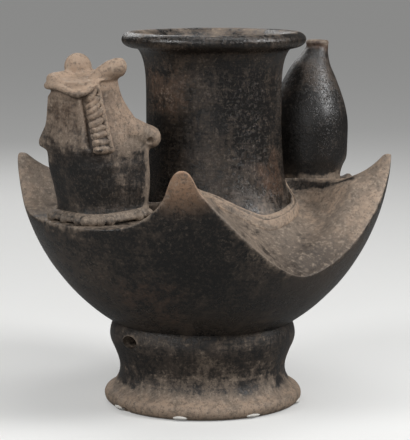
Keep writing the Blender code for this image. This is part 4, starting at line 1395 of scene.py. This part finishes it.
class VESSEL_OT_stage(bpy.types.Operator):
    """Set the floor, the lamps, the world and the camera"""

    bl_idname = "vessel.stage"
    bl_label = "Stage and camera"

    def execute(self, context):
        scene = context.scene
        setup = scene.stage_setup
        self.floor(scene.clay_colours)
        for name, (place, side, watts) in LAMPS.items():
            self.lamp(name, place, side, getattr(setup, watts))
        self.world(scene)
        self.camera(scene, setup)
        scene.view_settings.view_transform = "Standard"
        return {"FINISHED"}

    def floor(self, colours):
        """A wide plain floor: pale to the eye, and darker in the light that it throws back."""
        clear_selection()
        bpy.ops.mesh.primitive_plane_add(size=FLOOR_SIZE, location=(0, 0, 0))
        floor = named("floor")
        paint = Paint("floor_paint")
        seen = paint.node("ShaderNodeLightPath", {}, output="Is Camera Ray")
        pale = list(colours.floor)
        bounced = [FLOOR_BOUNCE * channel for channel in pale]
        paint.set("Base Color", paint.blend(bounced, pale, seen))
        paint.set("Emission Color", paint.blend((0.0, 0.0, 0.0), pale, seen))
        paint.set("Emission Strength", FLOOR_GLOW)
        paint.set("Roughness", 0.9)
        floor.data.materials.append(paint.finish)

    def world(self, scene):
        """A dim even surround that looks pale to the camera."""
        scene.world = scene.world or bpy.data.worlds.new("studio")
        scene.world.use_nodes = True
        tree = scene.world.node_tree
        surround = tree.nodes["Background"]
        surround.inputs["Color"].default_value = SURROUND_GREY
        seen = tree.nodes.new("ShaderNodeLightPath")
        level = tree.nodes.new("ShaderNodeMapRange")
        level.inputs["To Min"].default_value = SURROUND_LIGHT
        level.inputs["To Max"].default_value = SURROUND_SEEN
        tree.links.new(seen.outputs["Is Camera Ray"], level.inputs["Value"])
        tree.links.new(level.outputs["Result"], surround.inputs["Strength"])

    def lamp(self, name, place, side, watts):
        """A soft square lamp that looks at the vessel."""
        clear_selection()
        bpy.ops.object.light_add(type="AREA", location=place)
        lamp = named(name)
        lamp.data.shape = "SQUARE"
        lamp.data.size = side
        lamp.data.energy = watts
        lamp.rotation_euler = (Vector(place) - LAMP_AIM).to_track_quat("Z", "Y").to_euler()

    def camera(self, scene, setup):
        """A long lens at the photograph's angle."""
        back = Vector((math.cos(setup.elevation) * math.sin(setup.azimuth),
                       -math.cos(setup.elevation) * math.cos(setup.azimuth), math.sin(setup.elevation)))
        clear_selection()
        bpy.ops.object.camera_add(location=Vector((0, 0, setup.aim_height)) + back * setup.distance,
                                  rotation=back.to_track_quat("Z", "Y").to_euler())
        camera = named("photo_camera")
        camera.data.sensor_fit = "VERTICAL"
        camera.data.sensor_height = SENSOR_HEIGHT
        camera.data.lens = FOCAL_PIXELS / PICTURE_HEIGHT * SENSOR_HEIGHT
        camera.data.shift_x = SHIFT_PIXELS / PICTURE_HEIGHT
        scene.camera = camera


class VESSEL_PT_panel(bpy.types.Panel):
    """Lists the vessel's operators and settings"""

    bl_idname = "VESSEL_PT_panel"
    bl_label = "Lizard effigy vessel"
    bl_space_type = "VIEW_3D"
    bl_region_type = "UI"
    bl_category = "Vessel"

    def draw(self, context):
        for operator in OPERATORS:
            self.layout.operator(operator.bl_idname)
        for group in (context.scene.vessel_sizes, context.scene.clay_colours, context.scene.stage_setup):
            box = self.layout.box()
            for key in group.bl_rna.properties.keys():
                if key not in ("rna_type", "name"):
                    box.prop(group, key)


OPERATORS = (VESSEL_OT_stage, VESSEL_OT_foot, VESSEL_OT_body, VESSEL_OT_neck, VESSEL_OT_spout,
             VESSEL_OT_head, VESSEL_OT_bands, VESSEL_OT_beads)
GROUPS = {"vessel_sizes": VesselSizes, "clay_colours": ClayColours, "stage_setup": StageSetup}


def register():
    """Register the classes and hang the settings on the scene."""
    for kind in (*GROUPS.values(), *OPERATORS, VESSEL_PT_panel):
        bpy.utils.register_class(kind)
    for key, group in GROUPS.items():
        setattr(bpy.types.Scene, key, bpy.props.PointerProperty(type=group))


def unregister():
    """Take the settings and the classes away again."""
    for key in GROUPS:
        delattr(bpy.types.Scene, key)
    for kind in (VESSEL_PT_panel, *reversed(OPERATORS), *GROUPS.values()):
        bpy.utils.unregister_class(kind)


def main():
    """Build the stage and every piece."""
    register()
    bpy.ops.vessel.stage()
    bpy.ops.vessel.foot()
    bpy.ops.vessel.body()
    bpy.ops.vessel.neck()
    bpy.ops.vessel.spout()
    bpy.ops.vessel.head()
    bpy.ops.vessel.bands()
    bpy.ops.vessel.beads()


if __name__ == "__main__":
    main()
